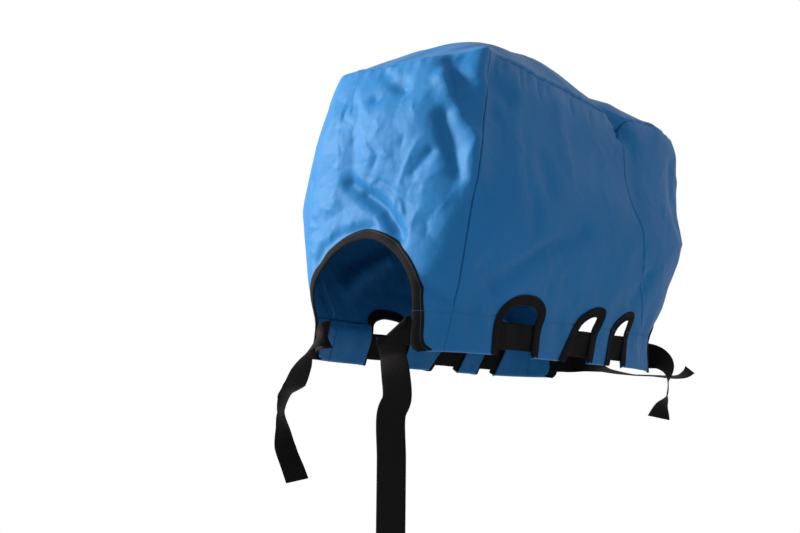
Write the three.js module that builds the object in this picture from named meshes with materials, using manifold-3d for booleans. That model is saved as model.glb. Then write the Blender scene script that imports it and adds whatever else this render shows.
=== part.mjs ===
// Fitted cloth cover for an outboard motor's cowling, in millimetres, +Z up.
// +Y points forward, to the boat, and +X to starboard. The origin is on the underside
// of the top panel, where the cowling's crown carries the cover.
import * as THREE from 'three';
import { mergeVertices } from 'three/addons/utils/BufferGeometryUtils.js';
import Module from 'manifold-3d';

const wasm = await Module();
wasm.setup();

// Cloth, tape and webbing
const CLOTH = 1.6;
const SEAM_GAP = 0.5;
const TAPE_GAP = 0.6;
const TAPE_PROUD = 0.6;
const TAPE_WIDTH = 12;
const WEB_WIDTH = 38;
const WEB_THICKNESS = 1.6;

// The casing at the hem: the cloth turns under and runs back up behind the belt
const STITCH_HEIGHT = -408;
const HEM_DEPTH = 50;
const HEM_DROP = 1.13;
const CASING = 5.6;
const BELT_FACE = -2.0;

// The wall at seven levels, from the top seam (drop 0) past the hem stitching (drop 1)
// to the hem's bottom. Half width, aftmost and foremost reach, corner power of the
// plan, and where the two upright seams stand, measured round the wall from the aft centre.
const LEVELS = [
  { drop: 0.00, halfWidth: 126, aft: -285, fore: 286, power: 5.5, aftSeam: 153, foreSeam: 486 },
  { drop: 0.12, halfWidth: 146, aft: -305, fore: 303, power: 4.4, aftSeam: 164, foreSeam: 487 },
  { drop: 0.30, halfWidth: 162, aft: -325, fore: 289, power: 4.0, aftSeam: 168, foreSeam: 498 },
  { drop: 0.55, halfWidth: 180, aft: -324, fore: 261, power: 4.6, aftSeam: 162, foreSeam: 534 },
  { drop: 0.80, halfWidth: 161, aft: -334, fore: 243, power: 4.5, aftSeam: 152, foreSeam: 556 },
  { drop: 1.00, halfWidth: 130, aft: -348, fore: 241, power: 4.2, aftSeam: 144, foreSeam: 590 },
  { drop: 1.13, halfWidth: 133, aft: -352, fore: 234, power: 4.1, aftSeam: 133, foreSeam: 594 },
];

// The top seam's height and the crown that rises above it, along the boat's axis
const CROWN = [
  { y: -285, seam: -59, rise: 34 },
  { y: -190, seam: -51, rise: 60 },
  { y: -95, seam: -64, rise: 66 },
  { y: 0, seam: -76, rise: 77.6 },
  { y: 95, seam: -90, rise: 62 },
  { y: 190, seam: -90, rise: 55 },
  { y: 286, seam: -114, rise: 45 },
];
const CROWN_POWER = 2.2;

// The tucked knot where the forward seam meets the top seam
const KNOT = { y: 88, halfWidth: 18, dip: 17 };

// The cover sits a little askew: at the stitching, the port side's seams and notches
// stand this much farther round from the aft centre than the starboard side's
const SKEW = 30;

// Folds of the wall: a polyline of [round, height] points, its half width and how far it
// stands out (+) or sinks in (-). Round is measured from the aft centre, + to starboard.
const FOLDS = [
  { path: [[101, -63], [139, -108]], halfWidth: 14, depth: -5 },
  { path: [[94, -88], [124, -155], [154, -184], [148, -227]], halfWidth: 13, depth: 8 },
  { path: [[112, -150], [122, -195], [140, -232]], halfWidth: 10, depth: -7 },
  { path: [[-33, -222], [23, -264], [52, -299], [75, -334]], halfWidth: 14, depth: -9 },
  { path: [[-32, -177], [-33, -217]], halfWidth: 11, depth: -5 },
  { path: [[-83, -312], [-77, -297], [-46, -282], [0, -279]], halfWidth: 10, depth: -5 },
  { path: [[0, -112], [41, -97]], halfWidth: 11, depth: -5 },
  { path: [[0, -72], [43, -102]], halfWidth: 10, depth: -4 },
  { path: [[102, -196], [76, -222]], halfWidth: 8, depth: -4 },
  { path: [[106, -376], [135, -391]], halfWidth: 9, depth: -5 },
  { path: [[226, -80], [233, -226]], halfWidth: 17, depth: 3 },
  { path: [[317, -95], [336, -178]], halfWidth: 17, depth: 3 },
  { path: [[287, -191], [301, -237]], halfWidth: 15, depth: -4 },
  { path: [[268, -253], [273, -291]], halfWidth: 13, depth: -4 },
  { path: [[168, -82], [215, -113]], halfWidth: 13, depth: -6 },
  { path: [[172, -96], [191, -140]], halfWidth: 11, depth: -5 },
  { path: [[382, -286], [307, -315], [247, -351], [218, -365]], halfWidth: 12, depth: -6 },
  { path: [[184, -350], [211, -375]], halfWidth: 10, depth: -5 },
  { path: [[364, -353], [390, -375]], halfWidth: 10, depth: -4 },
  { path: [[570, -328], [538, -366]], halfWidth: 11, depth: -5 },
  { path: [[486, -98], [487, -118]], halfWidth: 16, depth: -7 },
  { path: [[-486, -98], [-487, -118]], halfWidth: 16, depth: -7 },
  { path: [[-168, -84], [-212, -118]], halfWidth: 13, depth: -6 },
  { path: [[-290, -185], [-304, -240]], halfWidth: 15, depth: -4 },
  { path: [[-372, -292], [-300, -322], [-236, -356]], halfWidth: 12, depth: -6 },
  { path: [[-560, -322], [-536, -362]], halfWidth: 11, depth: -5 },
  { path: [[640, -150], [660, -240]], halfWidth: 16, depth: -5 },
  { path: [[-650, -170], [-690, -262]], halfWidth: 16, depth: -5 },
];

// Soft waves that the drawn belt puts into the hem
const HEM_WAVE = { depth: 1.3, length: 47, fade: 36 };

// The arches at the aft and fore ends, and the three notches on each side
// (left and right foot: how far each flares at the hem, as the cutter looks at it)
const AFT_ARCH = {
  centre: -7, halfWidth: 103, top: -292, spring: -385, power: 1.75, leftFoot: 6, rightFoot: 8,
};
const FORE_ARCH = {
  centre: -6, halfWidth: 97, top: -345, spring: -400, power: 2.0, leftFoot: 8, rightFoot: 6,
};
const FOOT_HEIGHT = 2.6;
const FOOT_EASE = 0.3;
const NOTCHES = [
  { foot: -181, halfFoot: 48, waist: -157, halfWaist: 50, head: -154, top: -378 },
  { foot: -45, halfFoot: 42, waist: 4, halfWaist: 30, head: 18, top: -381 },
  { foot: 60, halfFoot: 27, waist: 93, halfWaist: 25, head: 104, top: -380 },
];
const NOTCH_WAIST_HEIGHT = -406;
const NOTCH_ROUND = 0.62;
const NOTCH_LEAN = { behind: 0.5, ahead: 0.2 };
const CUT_BOTTOM = -475;

// Free ends of the belts: the webbing's middle, and its width's heading and tilt in degrees.
// The starboard aft end is folded on the diagonal where it leaves the casing.
const STARBOARD_AFT_END = [
  { x: 59, y: -343, z: -466, heading: 12, tilt: 0 },
  { x: 63, y: -342, z: -492, heading: 32, tilt: 0 },
  { x: 64, y: -341, z: -522, heading: 40, tilt: 0 },
  { x: 58, y: -345, z: -541, heading: 40, tilt: 2 },
  { x: 58, y: -345, z: -600, heading: 40, tilt: 0 },
  { x: 58, y: -346, z: -670, heading: 39, tilt: 0 },
  { x: 57, y: -346, z: -738, heading: 40, tilt: 0 },
];
const PORT_AFT_END = [
  { x: -80, y: -336, z: -433, heading: 90, tilt: 84 },
  { x: -54, y: -347, z: -432, heading: 90, tilt: 78 },
  { x: -44, y: -358, z: -434, heading: 90, tilt: 68 },
  { x: -52, y: -367, z: -441, heading: 100, tilt: 48 },
  { x: -68, y: -368, z: -455, heading: 105, tilt: 34 },
  { x: -84, y: -365, z: -477, heading: 80, tilt: 16 },
  { x: -102, y: -360, z: -499, heading: 75, tilt: 6 },
  { x: -121, y: -358, z: -513, heading: 110, tilt: 4 },
  { x: -129, y: -357, z: -534, heading: 120, tilt: 0 },
  { x: -126, y: -356, z: -556, heading: 104, tilt: 0 },
  { x: -122, y: -355, z: -582, heading: 84, tilt: 3 },
  { x: -110, y: -352, z: -611, heading: 80, tilt: 5 },
  { x: -104, y: -350, z: -627, heading: 80, tilt: 8 },
];
const STARBOARD_FORE_END = [
  { x: 80, y: 226, z: -433, heading: 90, tilt: 85 },
  { x: 67, y: 238, z: -432, heading: 90, tilt: 80 },
  { x: 74, y: 251, z: -431, heading: 90, tilt: 76 },
  { x: 88, y: 254, z: -437, heading: 70, tilt: 66 },
  { x: 101, y: 253, z: -449, heading: 90, tilt: 42 },
  { x: 109, y: 251, z: -469, heading: 120, tilt: 14 },
  { x: 108, y: 250, z: -494, heading: 125, tilt: -2 },
  { x: 99, y: 248, z: -510, heading: 95, tilt: -10 },
  { x: 94, y: 247, z: -529, heading: 60, tilt: -6 },
];
const PORT_FORE_END = [
  { x: -64, y: 232, z: -434, heading: 90, tilt: 82 },
  { x: -38, y: 245, z: -440, heading: 110, tilt: 44 },
  { x: -6, y: 255, z: -451, heading: 112, tilt: 12 },
  { x: 34, y: 264, z: -459, heading: 116, tilt: 5 },
  { x: 62, y: 279, z: -461, heading: 122, tilt: 6 },
  { x: 97, y: 303, z: -463, heading: 126, tilt: 12 },
  { x: 107, y: 310, z: -458, heading: 130, tilt: 22 },
  { x: 112, y: 313, z: -452, heading: 132, tilt: 34 },
];
const BEHIND_TAPE = TAPE_WIDTH - 2;
const WEB_STEP = 13;
const FOLD_RADIUS = 2.4;
const FOLD_LEAD = WEB_WIDTH / 2 + 3;

// Mesh steps
const RING_STEPS = 360;
const ARCH_STEPS = 18;
const NOTCH_STEPS = 5;
const AFT_COLUMNS = 17;
const SIDE_COLUMNS = 18;
const FORE_COLUMNS = 19;
const WALL_DROPS = [0.0065, 0.06, 0.13, 0.2, 0.27, 0.34, 0.41, 0.48, 0.55, 0.63, 0.71, 0.79,
  0.87, 0.94];
const HEM_DROPS = [1.0, 1.018, 1.068, 1.114, HEM_DROP];
const BELT_DROPS = [1.018, 1.068, 1.114];
const TAPE_START_DROP = 0.4;
const TOP_RINGS = [1, 0.92, 0.78, 0.58, 0.32];
const TOP_RING_STEP = 0.02;
const NORMAL_STEP = 5;
const NORMAL_DROP_STEP = 0.012;

const FINISHES = {
  cloth: { color: 0x3f86d0, roughness: 0.62, metalness: 0 },
  tape: { color: 0x15161a, roughness: 0.8, metalness: 0 },
  webbing: { color: 0x17181c, roughness: 0.7, metalness: 0 },
};
const DROP_PER_MM = (HEM_DROP - 1) / HEM_DEPTH;

function lerp(a, b, t) {
  return a + (b - a) * t;
}

function signedPower(value, power) {
  return Math.sign(value) * Math.abs(value) ** power;
}

// Smooth curve through a table's rows: a cubic on each span, with centred slopes
function tableValue(rows, key, column, at) {
  const last = rows.length - 1;
  let i = 0;
  while (i < last - 1 && at > rows[i + 1][key]) i += 1;
  const slope = (k) => {
    const a = Math.max(k - 1, 0);
    const b = Math.min(k + 1, last);
    return (rows[b][column] - rows[a][column]) / (rows[b][key] - rows[a][key]);
  };
  const span = rows[i + 1][key] - rows[i][key];
  const t = Math.min(Math.max((at - rows[i][key]) / span, 0), 1);
  const u = 1 - t;
  return rows[i][column] * u * u * (1 + 2 * t) + rows[i + 1][column] * t * t * (3 - 2 * t)
    + slope(i) * span * t * u * u - slope(i + 1) * span * t * t * u;
}

function seamHeight(y) {
  const knot = KNOT.dip * Math.exp(-(((y - KNOT.y) / KNOT.halfWidth) ** 2));
  return tableValue(CROWN, 'y', 'seam', y) - knot;
}

// Half of the plan at one level, from the aft centre round starboard to the fore centre
const rings = new Map();
function ringAt(drop) {
  const key = drop.toFixed(5);
  if (rings.has(key)) return rings.get(key);
  const level = Math.min(Math.max(drop, 0), HEM_DROP);
  const [halfWidth, aft, fore, power] = ['halfWidth', 'aft', 'fore', 'power']
    .map((column) => tableValue(LEVELS, 'drop', column, level));
  const points = [];
  let length = 0;
  for (let i = 0; i <= RING_STEPS; i += 1) {
    const angle = Math.PI * i / RING_STEPS;
    const x = halfWidth * signedPower(Math.sin(angle), 2 / power);
    const y = (aft + fore) / 2 - (fore - aft) / 2 * signedPower(Math.cos(angle), 2 / power);
    const top = seamHeight(lerp(LEVELS[0].aft, LEVELS[0].fore, (y - aft) / (fore - aft)));
    const z = drop < 1 ? lerp(top, STITCH_HEIGHT, drop) : STITCH_HEIGHT - (drop - 1) / DROP_PER_MM;
    const point = new THREE.Vector3(x, y, z);
    if (i > 0) length += point.distanceTo(points[i - 1].point);
    points.push({ round: length, point });
  }
  const ring = { points, half: length };
  rings.set(key, ring);
  return ring;
}

// A point of the plain wall, at a distance round from the aft centre
function wallPoint(round, drop) {
  const { points, half } = ringAt(drop);
  const wrapped = round - 2 * half * Math.round(round / (2 * half));
  const distance = Math.abs(wrapped);
  let low = 0;
  let high = points.length - 1;
  while (high - low > 1) {
    const middle = (low + high) >> 1;
    if (points[middle].round > distance) high = middle;
    else low = middle;
  }
  const a = points[low];
  const b = points[high];
  const point = a.point.clone().lerp(b.point, (distance - a.round) / (b.round - a.round));
  if (wrapped < 0) point.x *= -1;
  return point;
}

function wallNormal(round, drop) {
  const across = wallPoint(round + NORMAL_STEP, drop).sub(wallPoint(round - NORMAL_STEP, drop));
  const below = wallPoint(round, Math.min(drop + NORMAL_DROP_STEP, HEM_DROP));
  const highest = Math.max(drop - NORMAL_DROP_STEP, 0);
  const above = wallPoint(round, Math.min(highest, HEM_DROP - NORMAL_DROP_STEP));
  return below.sub(above).cross(across).normalize();
}

// How far the folds move the cloth out at a place on the wall
function foldDepth(round, height) {
  let depth = 0;
  for (const { path, halfWidth, depth: most } of FOLDS) {
    let nearest = Infinity;
    for (let i = 0; i < path.length - 1; i += 1) {
      const [ax, ay] = path[i];
      const dx = path[i + 1][0] - ax;
      const dy = path[i + 1][1] - ay;
      const along = ((round - ax) * dx + (height - ay) * dy) / (dx * dx + dy * dy);
      const t = Math.min(Math.max(along, 0), 1);
      nearest = Math.min(nearest, Math.hypot(round - ax - t * dx, height - ay - t * dy));
    }
    depth += most * Math.exp(-((nearest / halfWidth) ** 2));
  }
  const wave = Math.exp(-(((height - STITCH_HEIGHT) / HEM_WAVE.fade) ** 2));
  return depth + HEM_WAVE.depth * wave * Math.sin(2 * Math.PI * round / HEM_WAVE.length);
}

// A point of the cloth: offset 0 is its outer face, and negative offsets lie inward
function clothPoint(round, drop, offset) {
  const base = wallPoint(round, drop);
  const { half } = ringAt(drop);
  const signed = round - 2 * half * Math.round(round / (2 * half));
  const out = foldDepth(signed, base.z) + offset;
  return base.addScaledVector(wallNormal(round, drop), out);
}

// A closed body between two grids of points, its outer and inner face. Each square is
// split down and round the same way on every layer, so that stacked layers stay parallel.
function slab(outer, inner) {
  const rows = outer.length;
  const columns = outer[0].length;
  const positions = [...outer.flat(), ...inner.flat()].flatMap((p) => [p.x, p.y, p.z]);
  const index = [];
  const quad = (a, b, c, d) => index.push(a, b, c, a, c, d);
  const at = (side, i, j) => (side * rows + i) * columns + j;
  const slant = (a, b) => (b.z - a.z) * (a.x * b.y - a.y * b.x);
  for (let i = 0; i < rows - 1; i += 1) {
    for (let j = 0; j < columns - 1; j += 1) {
      const turned = slant(outer[i][j], outer[i + 1][j + 1]) > 0;
      for (const side of [0, 1]) {
        const square = [[i, j], [i + 1, j], [i + 1, j + 1], [i, j + 1]].map(([r, c]) => at(side, r, c));
        if (turned) square.push(square.shift());
        if (side === 1) square.reverse();
        if (side === 1) square.unshift(square.pop());
        quad(...square);
      }
    }
    const end = columns - 1;
    quad(at(0, i, 0), at(1, i, 0), at(1, i + 1, 0), at(0, i + 1, 0));
    quad(at(0, i, end), at(0, i + 1, end), at(1, i + 1, end), at(1, i, end));
  }
  for (let j = 0; j < columns - 1; j += 1) {
    quad(at(0, 0, j), at(0, 0, j + 1), at(1, 0, j + 1), at(1, 0, j));
    quad(at(0, rows - 1, j), at(1, rows - 1, j), at(1, rows - 1, j + 1), at(0, rows - 1, j + 1));
  }
  return closedGeometry(positions, index);
}

// Geometry whose faces point out, whichever way its grid ran
function closedGeometry(positions, index) {
  const geometry = new THREE.BufferGeometry();
  geometry.setAttribute('position', new THREE.Float32BufferAttribute(positions, 3));
  let volume = 0;
  const corner = (k) => new THREE.Vector3().fromArray(positions, 3 * index[k]);
  for (let k = 0; k < index.length; k += 3) {
    volume += corner(k).dot(corner(k + 1).cross(corner(k + 2)));
  }
  if (volume < 0) {
    for (let k = 0; k < index.length; k += 3) [index[k], index[k + 1]] = [index[k + 1], index[k]];
  }
  geometry.setIndex(index);
  return geometry;
}

function toSolid(geometry) {
  const bare = geometry.clone();
  bare.deleteAttribute('normal');
  bare.deleteAttribute('uv');
  const merged = mergeVertices(bare, 1e-4);
  const vertProperties = Float32Array.from(merged.getAttribute('position').array);
  const triVerts = Uint32Array.from(merged.index.array);
  return new wasm.Manifold(new wasm.Mesh({ numProp: 3, vertProperties, triVerts }));
}

function toGeometry(solid) {
  const { vertProperties, triVerts } = solid.getMesh();
  const geometry = new THREE.BufferGeometry();
  geometry.setAttribute('position', new THREE.Float32BufferAttribute(vertProperties, 3));
  geometry.setIndex([...triVerts]);
  return geometry;
}

// The wall's section from the top seam down, round the hem and up behind the belt
function wallSection() {
  const stations = [...WALL_DROPS, ...HEM_DROPS]
    .map((drop) => ({ outer: [drop, 0], inner: [drop, -CLOTH] }));
  const middle = -CASING / 2;
  for (const angle of [Math.PI / 4, Math.PI / 2, 3 * Math.PI / 4]) {
    const turn = (radius) => [HEM_DROP + radius * Math.sin(angle) * DROP_PER_MM,
      middle + radius * Math.cos(angle)];
    stations.push({ outer: turn(CASING / 2), inner: turn(CASING / 2 - CLOTH) });
  }
  for (const drop of [...HEM_DROPS].reverse()) {
    stations.push({ outer: [drop, -CASING], inner: [drop, CLOTH - CASING] });
  }
  return stations;
}

function seamPlace(name, drop) {
  return tableValue(LEVELS, 'drop', name, Math.min(drop, HEM_DROP));
}

function portSeamPlace(name, drop) {
  return seamPlace(name, drop) + SKEW * drop;
}

// The wall panels: where each starts and ends round the wall at a level
const PANELS = {
  aft: {
    columns: AFT_COLUMNS,
    ends: (drop) => [-portSeamPlace('aftSeam', drop), seamPlace('aftSeam', drop)],
  },
  starboard: {
    columns: SIDE_COLUMNS,
    ends: (drop) => [seamPlace('aftSeam', drop), seamPlace('foreSeam', drop)],
  },
  port: {
    columns: SIDE_COLUMNS,
    ends: (drop) => [-portSeamPlace('foreSeam', drop), -portSeamPlace('aftSeam', drop)],
  },
  fore: {
    columns: FORE_COLUMNS,
    ends: (drop) => [seamPlace('foreSeam', drop),
      2 * ringAt(drop).half - portSeamPlace('foreSeam', drop)],
  },
};

function panelRound(panel, column, drop) {
  const [start, end] = panel.ends(drop);
  return lerp(start + SEAM_GAP / 2, end - SEAM_GAP / 2, column / (panel.columns - 1));
}

function panelGrid(panel, places) {
  return places.map(([drop, offset]) => Array.from({ length: panel.columns },
    (_, column) => clothPoint(panelRound(panel, column, drop), drop, offset)));
}

function panelSolid(panel) {
  const section = wallSection();
  const outer = panelGrid(panel, section.map((station) => station.outer));
  const inner = panelGrid(panel, section.map((station) => station.inner));
  return toSolid(slab(outer, inner));
}

// The wall again as tape: a little proud of the cloth, and open at the hem
function tapeSolid(panel) {
  const drops = [...WALL_DROPS.filter((drop) => drop > TAPE_START_DROP), ...HEM_DROPS];
  const outer = panelGrid(panel, drops.map((drop) => [drop, TAPE_PROUD]));
  const inner = panelGrid(panel, drops.map((drop) => [drop, -CLOTH]));
  return toSolid(slab(outer, inner));
}

// An arch's outline, drawn in by an inset, with feet that flare at the hem
function archShape({ centre, halfWidth, top, spring, power, leftFoot, rightFoot }, inset) {
  const left = centre - halfWidth + inset;
  const right = centre + halfWidth - inset;
  const rise = top - spring - inset;
  const bottom = STITCH_HEIGHT - HEM_DEPTH;
  const shape = new THREE.Shape();
  shape.moveTo(left - leftFoot, CUT_BOTTOM);
  shape.lineTo(left - leftFoot, bottom);
  shape.quadraticCurveTo(left, bottom + leftFoot * FOOT_EASE, left, bottom + leftFoot * FOOT_HEIGHT);
  for (let i = 0; i <= ARCH_STEPS; i += 1) {
    const angle = Math.PI * (1 - i / ARCH_STEPS);
    const x = centre + (halfWidth - inset) * signedPower(Math.cos(angle), 2 / power);
    shape.lineTo(x, spring + rise * Math.abs(Math.sin(angle)) ** (2 / power));
  }
  shape.lineTo(right, bottom + rightFoot * FOOT_HEIGHT);
  shape.quadraticCurveTo(right, bottom + rightFoot * FOOT_EASE, right + rightFoot, bottom);
  shape.lineTo(right + rightFoot, CUT_BOTTOM);
  return shape;
}

// A notch's outline in the side view: a leaning slot with a rounded head
function notchShape({ foot, halfFoot, waist, halfWaist, head, top }, inset) {
  const wide = halfWaist - inset;
  const crest = top - inset;
  const rise = crest - NOTCH_WAIST_HEIGHT;
  const lean = rise * (waist - foot) / (NOTCH_WAIST_HEIGHT - CUT_BOTTOM);
  const shoulder = NOTCH_WAIST_HEIGHT + rise * NOTCH_ROUND;
  const shape = new THREE.Shape();
  shape.moveTo(foot - halfFoot + inset, CUT_BOTTOM);
  shape.lineTo(waist - wide, NOTCH_WAIST_HEIGHT);
  shape.bezierCurveTo(waist - wide + lean * NOTCH_LEAN.behind, shoulder,
    head - wide * NOTCH_ROUND, crest, head, crest);
  shape.bezierCurveTo(head + wide * NOTCH_ROUND, crest,
    waist + wide + lean * NOTCH_LEAN.ahead, shoulder, waist + wide, NOTCH_WAIST_HEIGHT);
  shape.lineTo(foot + halfFoot - inset, CUT_BOTTOM);
  return shape;
}

// A straight cutter along an axis: the shape's own axes become the given ones
function cutter(shape, across, up, start, depth) {
  const options = { depth, bevelEnabled: false, curveSegments: NOTCH_STEPS };
  const geometry = new THREE.ExtrudeGeometry(shape, options);
  const along = across.clone().cross(up);
  geometry.applyMatrix4(new THREE.Matrix4().makeBasis(across, up, along));
  geometry.translate(start * along.x, start * along.y, start * along.z);
  return toSolid(geometry);
}

const AXIS_X = new THREE.Vector3(1, 0, 0);
const AXIS_Y = new THREE.Vector3(0, 1, 0);
const AXIS_Z = new THREE.Vector3(0, 0, 1);
const CUT_START = 40;
const CUT_REACH = 400;

// Cutters: the aft arch runs along -Y, the fore one along +Y and the notches along X
function aftArchCutter(inset) {
  return cutter(archShape(AFT_ARCH, inset), AXIS_X, AXIS_Z, CUT_START, CUT_REACH);
}

function foreArchCutter(inset) {
  return cutter(archShape(FORE_ARCH, inset), AXIS_X.clone().negate(), AXIS_Z, CUT_START, CUT_REACH);
}

function notchCutter(notch, side, inset) {
  const start = side > 0 ? CUT_START : -CUT_START - CUT_REACH;
  const solid = cutter(notchShape(notch, inset), AXIS_Y, AXIS_Z, start, CUT_REACH);
  return side > 0 ? solid : solid.translate(0, SKEW, 0);
}

const group = new THREE.Group();

function addPiece(name, geometry, finish) {
  geometry.computeVertexNormals();
  const mesh = new THREE.Mesh(geometry, new THREE.MeshStandardMaterial(finish));
  mesh.name = name;
  group.add(mesh);
}

function addPanel(name, panel, cutters) {
  const cut = cutters.reduce((solid, tool) => solid.subtract(tool), panelSolid(panel));
  addPiece(name, toGeometry(cut), FINISHES.cloth);
}

function addBinding(name, panel, makeCutter) {
  const strip = tapeSolid(panel).intersect(makeCutter(TAPE_GAP)).subtract(makeCutter(TAPE_WIDTH));
  addPiece(name, toGeometry(strip), FINISHES.tape);
}

// The top panel: rings drawn in from the wall's top edge towards the crown
function topPanel() {
  const edge = [PANELS.aft, PANELS.starboard, PANELS.fore, PANELS.port].flatMap((panel) => {
    const steps = panel.columns - 1;
    return Array.from({ length: steps }, (_, column) => lerp(...panel.ends(0), column / steps));
  });
  const crownPoint = (round, share) => {
    const rim = wallPoint(round, 0);
    const y = rim.y * share;
    const seam = tableValue(CROWN, 'y', 'seam', y) * (1 - share ** 3) + rim.z * share ** 3;
    const rise = tableValue(CROWN, 'y', 'rise', y) * (1 - share ** CROWN_POWER);
    return new THREE.Vector3(rim.x * share, y, seam + rise);
  };
  const underPoint = (round, share) => {
    const here = crownPoint(round, share);
    const inward = crownPoint(round, share - TOP_RING_STEP).sub(here);
    const along = crownPoint(round + NORMAL_STEP, share).sub(crownPoint(round - NORMAL_STEP, share));
    return here.addScaledVector(inward.cross(along).normalize(), CLOTH);
  };
  const rows = TOP_RINGS.length;
  const count = edge.length;
  const points = [];
  for (const under of [false, true]) {
    for (const share of TOP_RINGS) {
      for (const round of edge) {
        points.push(under ? underPoint(round, share) : crownPoint(round, share));
      }
    }
  }
  const poles = [points.length, points.length + 1];
  const peak = crownPoint(0, 0);
  points.push(peak, peak.clone().setZ(peak.z - CLOTH));
  const index = [];
  const at = (side, i, j) => (side * rows + i) * count + (j % count);
  for (let j = 0; j < count; j += 1) {
    for (let i = 0; i < rows - 1; i += 1) {
      index.push(at(0, i, j), at(0, i, j + 1), at(0, i + 1, j + 1));
      index.push(at(0, i, j), at(0, i + 1, j + 1), at(0, i + 1, j));
      index.push(at(1, i, j), at(1, i + 1, j + 1), at(1, i, j + 1));
      index.push(at(1, i, j), at(1, i + 1, j), at(1, i + 1, j + 1));
    }
    index.push(at(0, rows - 1, j), at(0, rows - 1, j + 1), poles[0]);
    index.push(at(1, rows - 1, j + 1), at(1, rows - 1, j), poles[1]);
    index.push(at(0, 0, j + 1), at(0, 0, j), at(1, 0, j));
    index.push(at(0, 0, j + 1), at(1, 0, j), at(1, 0, j + 1));
  }
  return closedGeometry(points.flatMap((p) => [p.x, p.y, p.z]), index);
}

// The belt inside the casing runs on the panels' own columns, from just behind the tape
// of one arch to just behind the tape of the other
function casingBelt(side) {
  const { points: ring, half } = ringAt(BELT_DROPS[1]);
  const aftEdge = AFT_ARCH.halfWidth + side * AFT_ARCH.centre - BEHIND_TAPE;
  const foreEdge = FORE_ARCH.halfWidth - side * FORE_ARCH.centre - BEHIND_TAPE;
  const start = ring.find(({ point }) => point.x >= aftEdge).round;
  const end = ring.findLast(({ point }) => point.x >= foreEdge).round;
  const wallPanels = [PANELS.aft, side > 0 ? PANELS.starboard : PANELS.port, PANELS.fore];
  const rows = wallPanels.flatMap((panel) => Array.from({ length: panel.columns }, (_, column) =>
    BELT_DROPS.map((drop) => panelRound(panel, column, drop))));
  const travel = (row) => (side > 0 || row[1] < 0 ? side * row[1] : 2 * half - row[1]);
  const webbing = (row) => row.map((round, i) => ({
    outer: clothPoint(round, BELT_DROPS[i], BELT_FACE),
    inner: clothPoint(round, BELT_DROPS[i], BELT_FACE - WEB_THICKNESS),
  }));
  const placed = rows.map((row) => ({ at: travel(row), points: webbing(row) }))
    .sort((a, b) => a.at - b.at)
    .filter(({ at }, i, all) => i === 0 || at - all[i - 1].at > 2 * SEAM_GAP);
  const between = (place) => {
    const next = placed.findIndex(({ at }) => at > place);
    const [a, b] = [placed[next - 1], placed[next]];
    const t = (place - a.at) / (b.at - a.at);
    return a.points.map((point, i) => ({
      outer: point.outer.clone().lerp(b.points[i].outer, t),
      inner: point.inner.clone().lerp(b.points[i].inner, t),
    }));
  };
  const kept = placed.filter(({ at }) => at > start + SEAM_GAP && at < end - SEAM_GAP);
  return [between(start), ...kept.map(({ points: row }) => row), between(end)];
}

// One row across the webbing, with its outer face towards a given side
function webbingRow(middle, width, outward) {
  return [0.5, 0, -0.5].map((share) => {
    const point = middle.clone().addScaledVector(width, share * WEB_WIDTH);
    return {
      outer: point.clone().addScaledVector(outward, WEB_THICKNESS / 2),
      inner: point.addScaledVector(outward, -WEB_THICKNESS / 2),
    };
  });
}

// Where the webbing leaves the casing: its middle, its upward edge and its outward face
function leaving(row, before) {
  const middle = row[1].outer.clone().add(row[1].inner).multiplyScalar(0.5);
  const edge = row[0].outer.clone().sub(row[2].outer).normalize();
  const outward = row[1].outer.clone().sub(row[1].inner).normalize();
  const travel = row[1].outer.clone().sub(before[1].outer);
  travel.addScaledVector(edge, -travel.dot(edge)).normalize();
  return { middle, edge, outward, travel };
}

// A flat fold on the diagonal, which turns the webbing from level to hanging
function diagonalFold({ middle, edge, outward, travel }) {
  const crease = edge.clone().sub(travel).normalize();
  const across = edge.clone().add(travel).normalize();
  const centre = middle.clone().addScaledVector(travel, FOLD_LEAD);
  return [0, 60, 120, 180].map((degrees) => {
    const angle = THREE.MathUtils.degToRad(degrees);
    const at = centre.clone().addScaledVector(crease, -FOLD_RADIUS * angle)
      .addScaledVector(across, FOLD_RADIUS * Math.sin(angle))
      .addScaledVector(outward, FOLD_RADIUS * (1 - Math.cos(angle)));
    const face = outward.clone().multiplyScalar(Math.cos(angle)).addScaledVector(across, -Math.sin(angle));
    return webbingRow(at, crease.clone().multiplyScalar(Math.SQRT2), face);
  });
}

// A free end: webbing led from a row along its stations
function freeEnd(stations, from, facing) {
  const radians = THREE.MathUtils.degToRad;
  const start = from[1].outer.clone().add(from[1].inner).multiplyScalar(0.5);
  const middles = [start, ...stations.map(({ x, y, z }) => new THREE.Vector3(x, y, z))];
  const widths = [from[0].outer.clone().sub(from[2].outer).normalize(), ...stations
    .map(({ heading, tilt }) => new THREE.Vector3(Math.cos(radians(tilt)) * Math.cos(radians(heading)),
      Math.cos(radians(tilt)) * Math.sin(radians(heading)), Math.sin(radians(tilt))))];
  for (let i = 1; i < widths.length; i += 1) {
    if (widths[i].dot(widths[i - 1]) < 0) widths[i].negate();
  }
  const route = new THREE.CatmullRomCurve3(middles, false, 'centripetal');
  const rows = [];
  for (let i = 0; i < middles.length - 1; i += 1) {
    const steps = Math.max(1, Math.round(middles[i].distanceTo(middles[i + 1]) / WEB_STEP));
    for (let k = 1; k <= steps; k += 1) {
      const t = (i + k / steps) / (middles.length - 1);
      const tangent = route.getTangent(t);
      const width = widths[i].clone().lerp(widths[i + 1], k / steps);
      width.addScaledVector(tangent, -width.dot(tangent)).normalize();
      const outward = tangent.cross(width).normalize().multiplyScalar(facing);
      rows.push(webbingRow(route.getPoint(t), width, outward));
    }
  }
  return rows;
}

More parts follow.
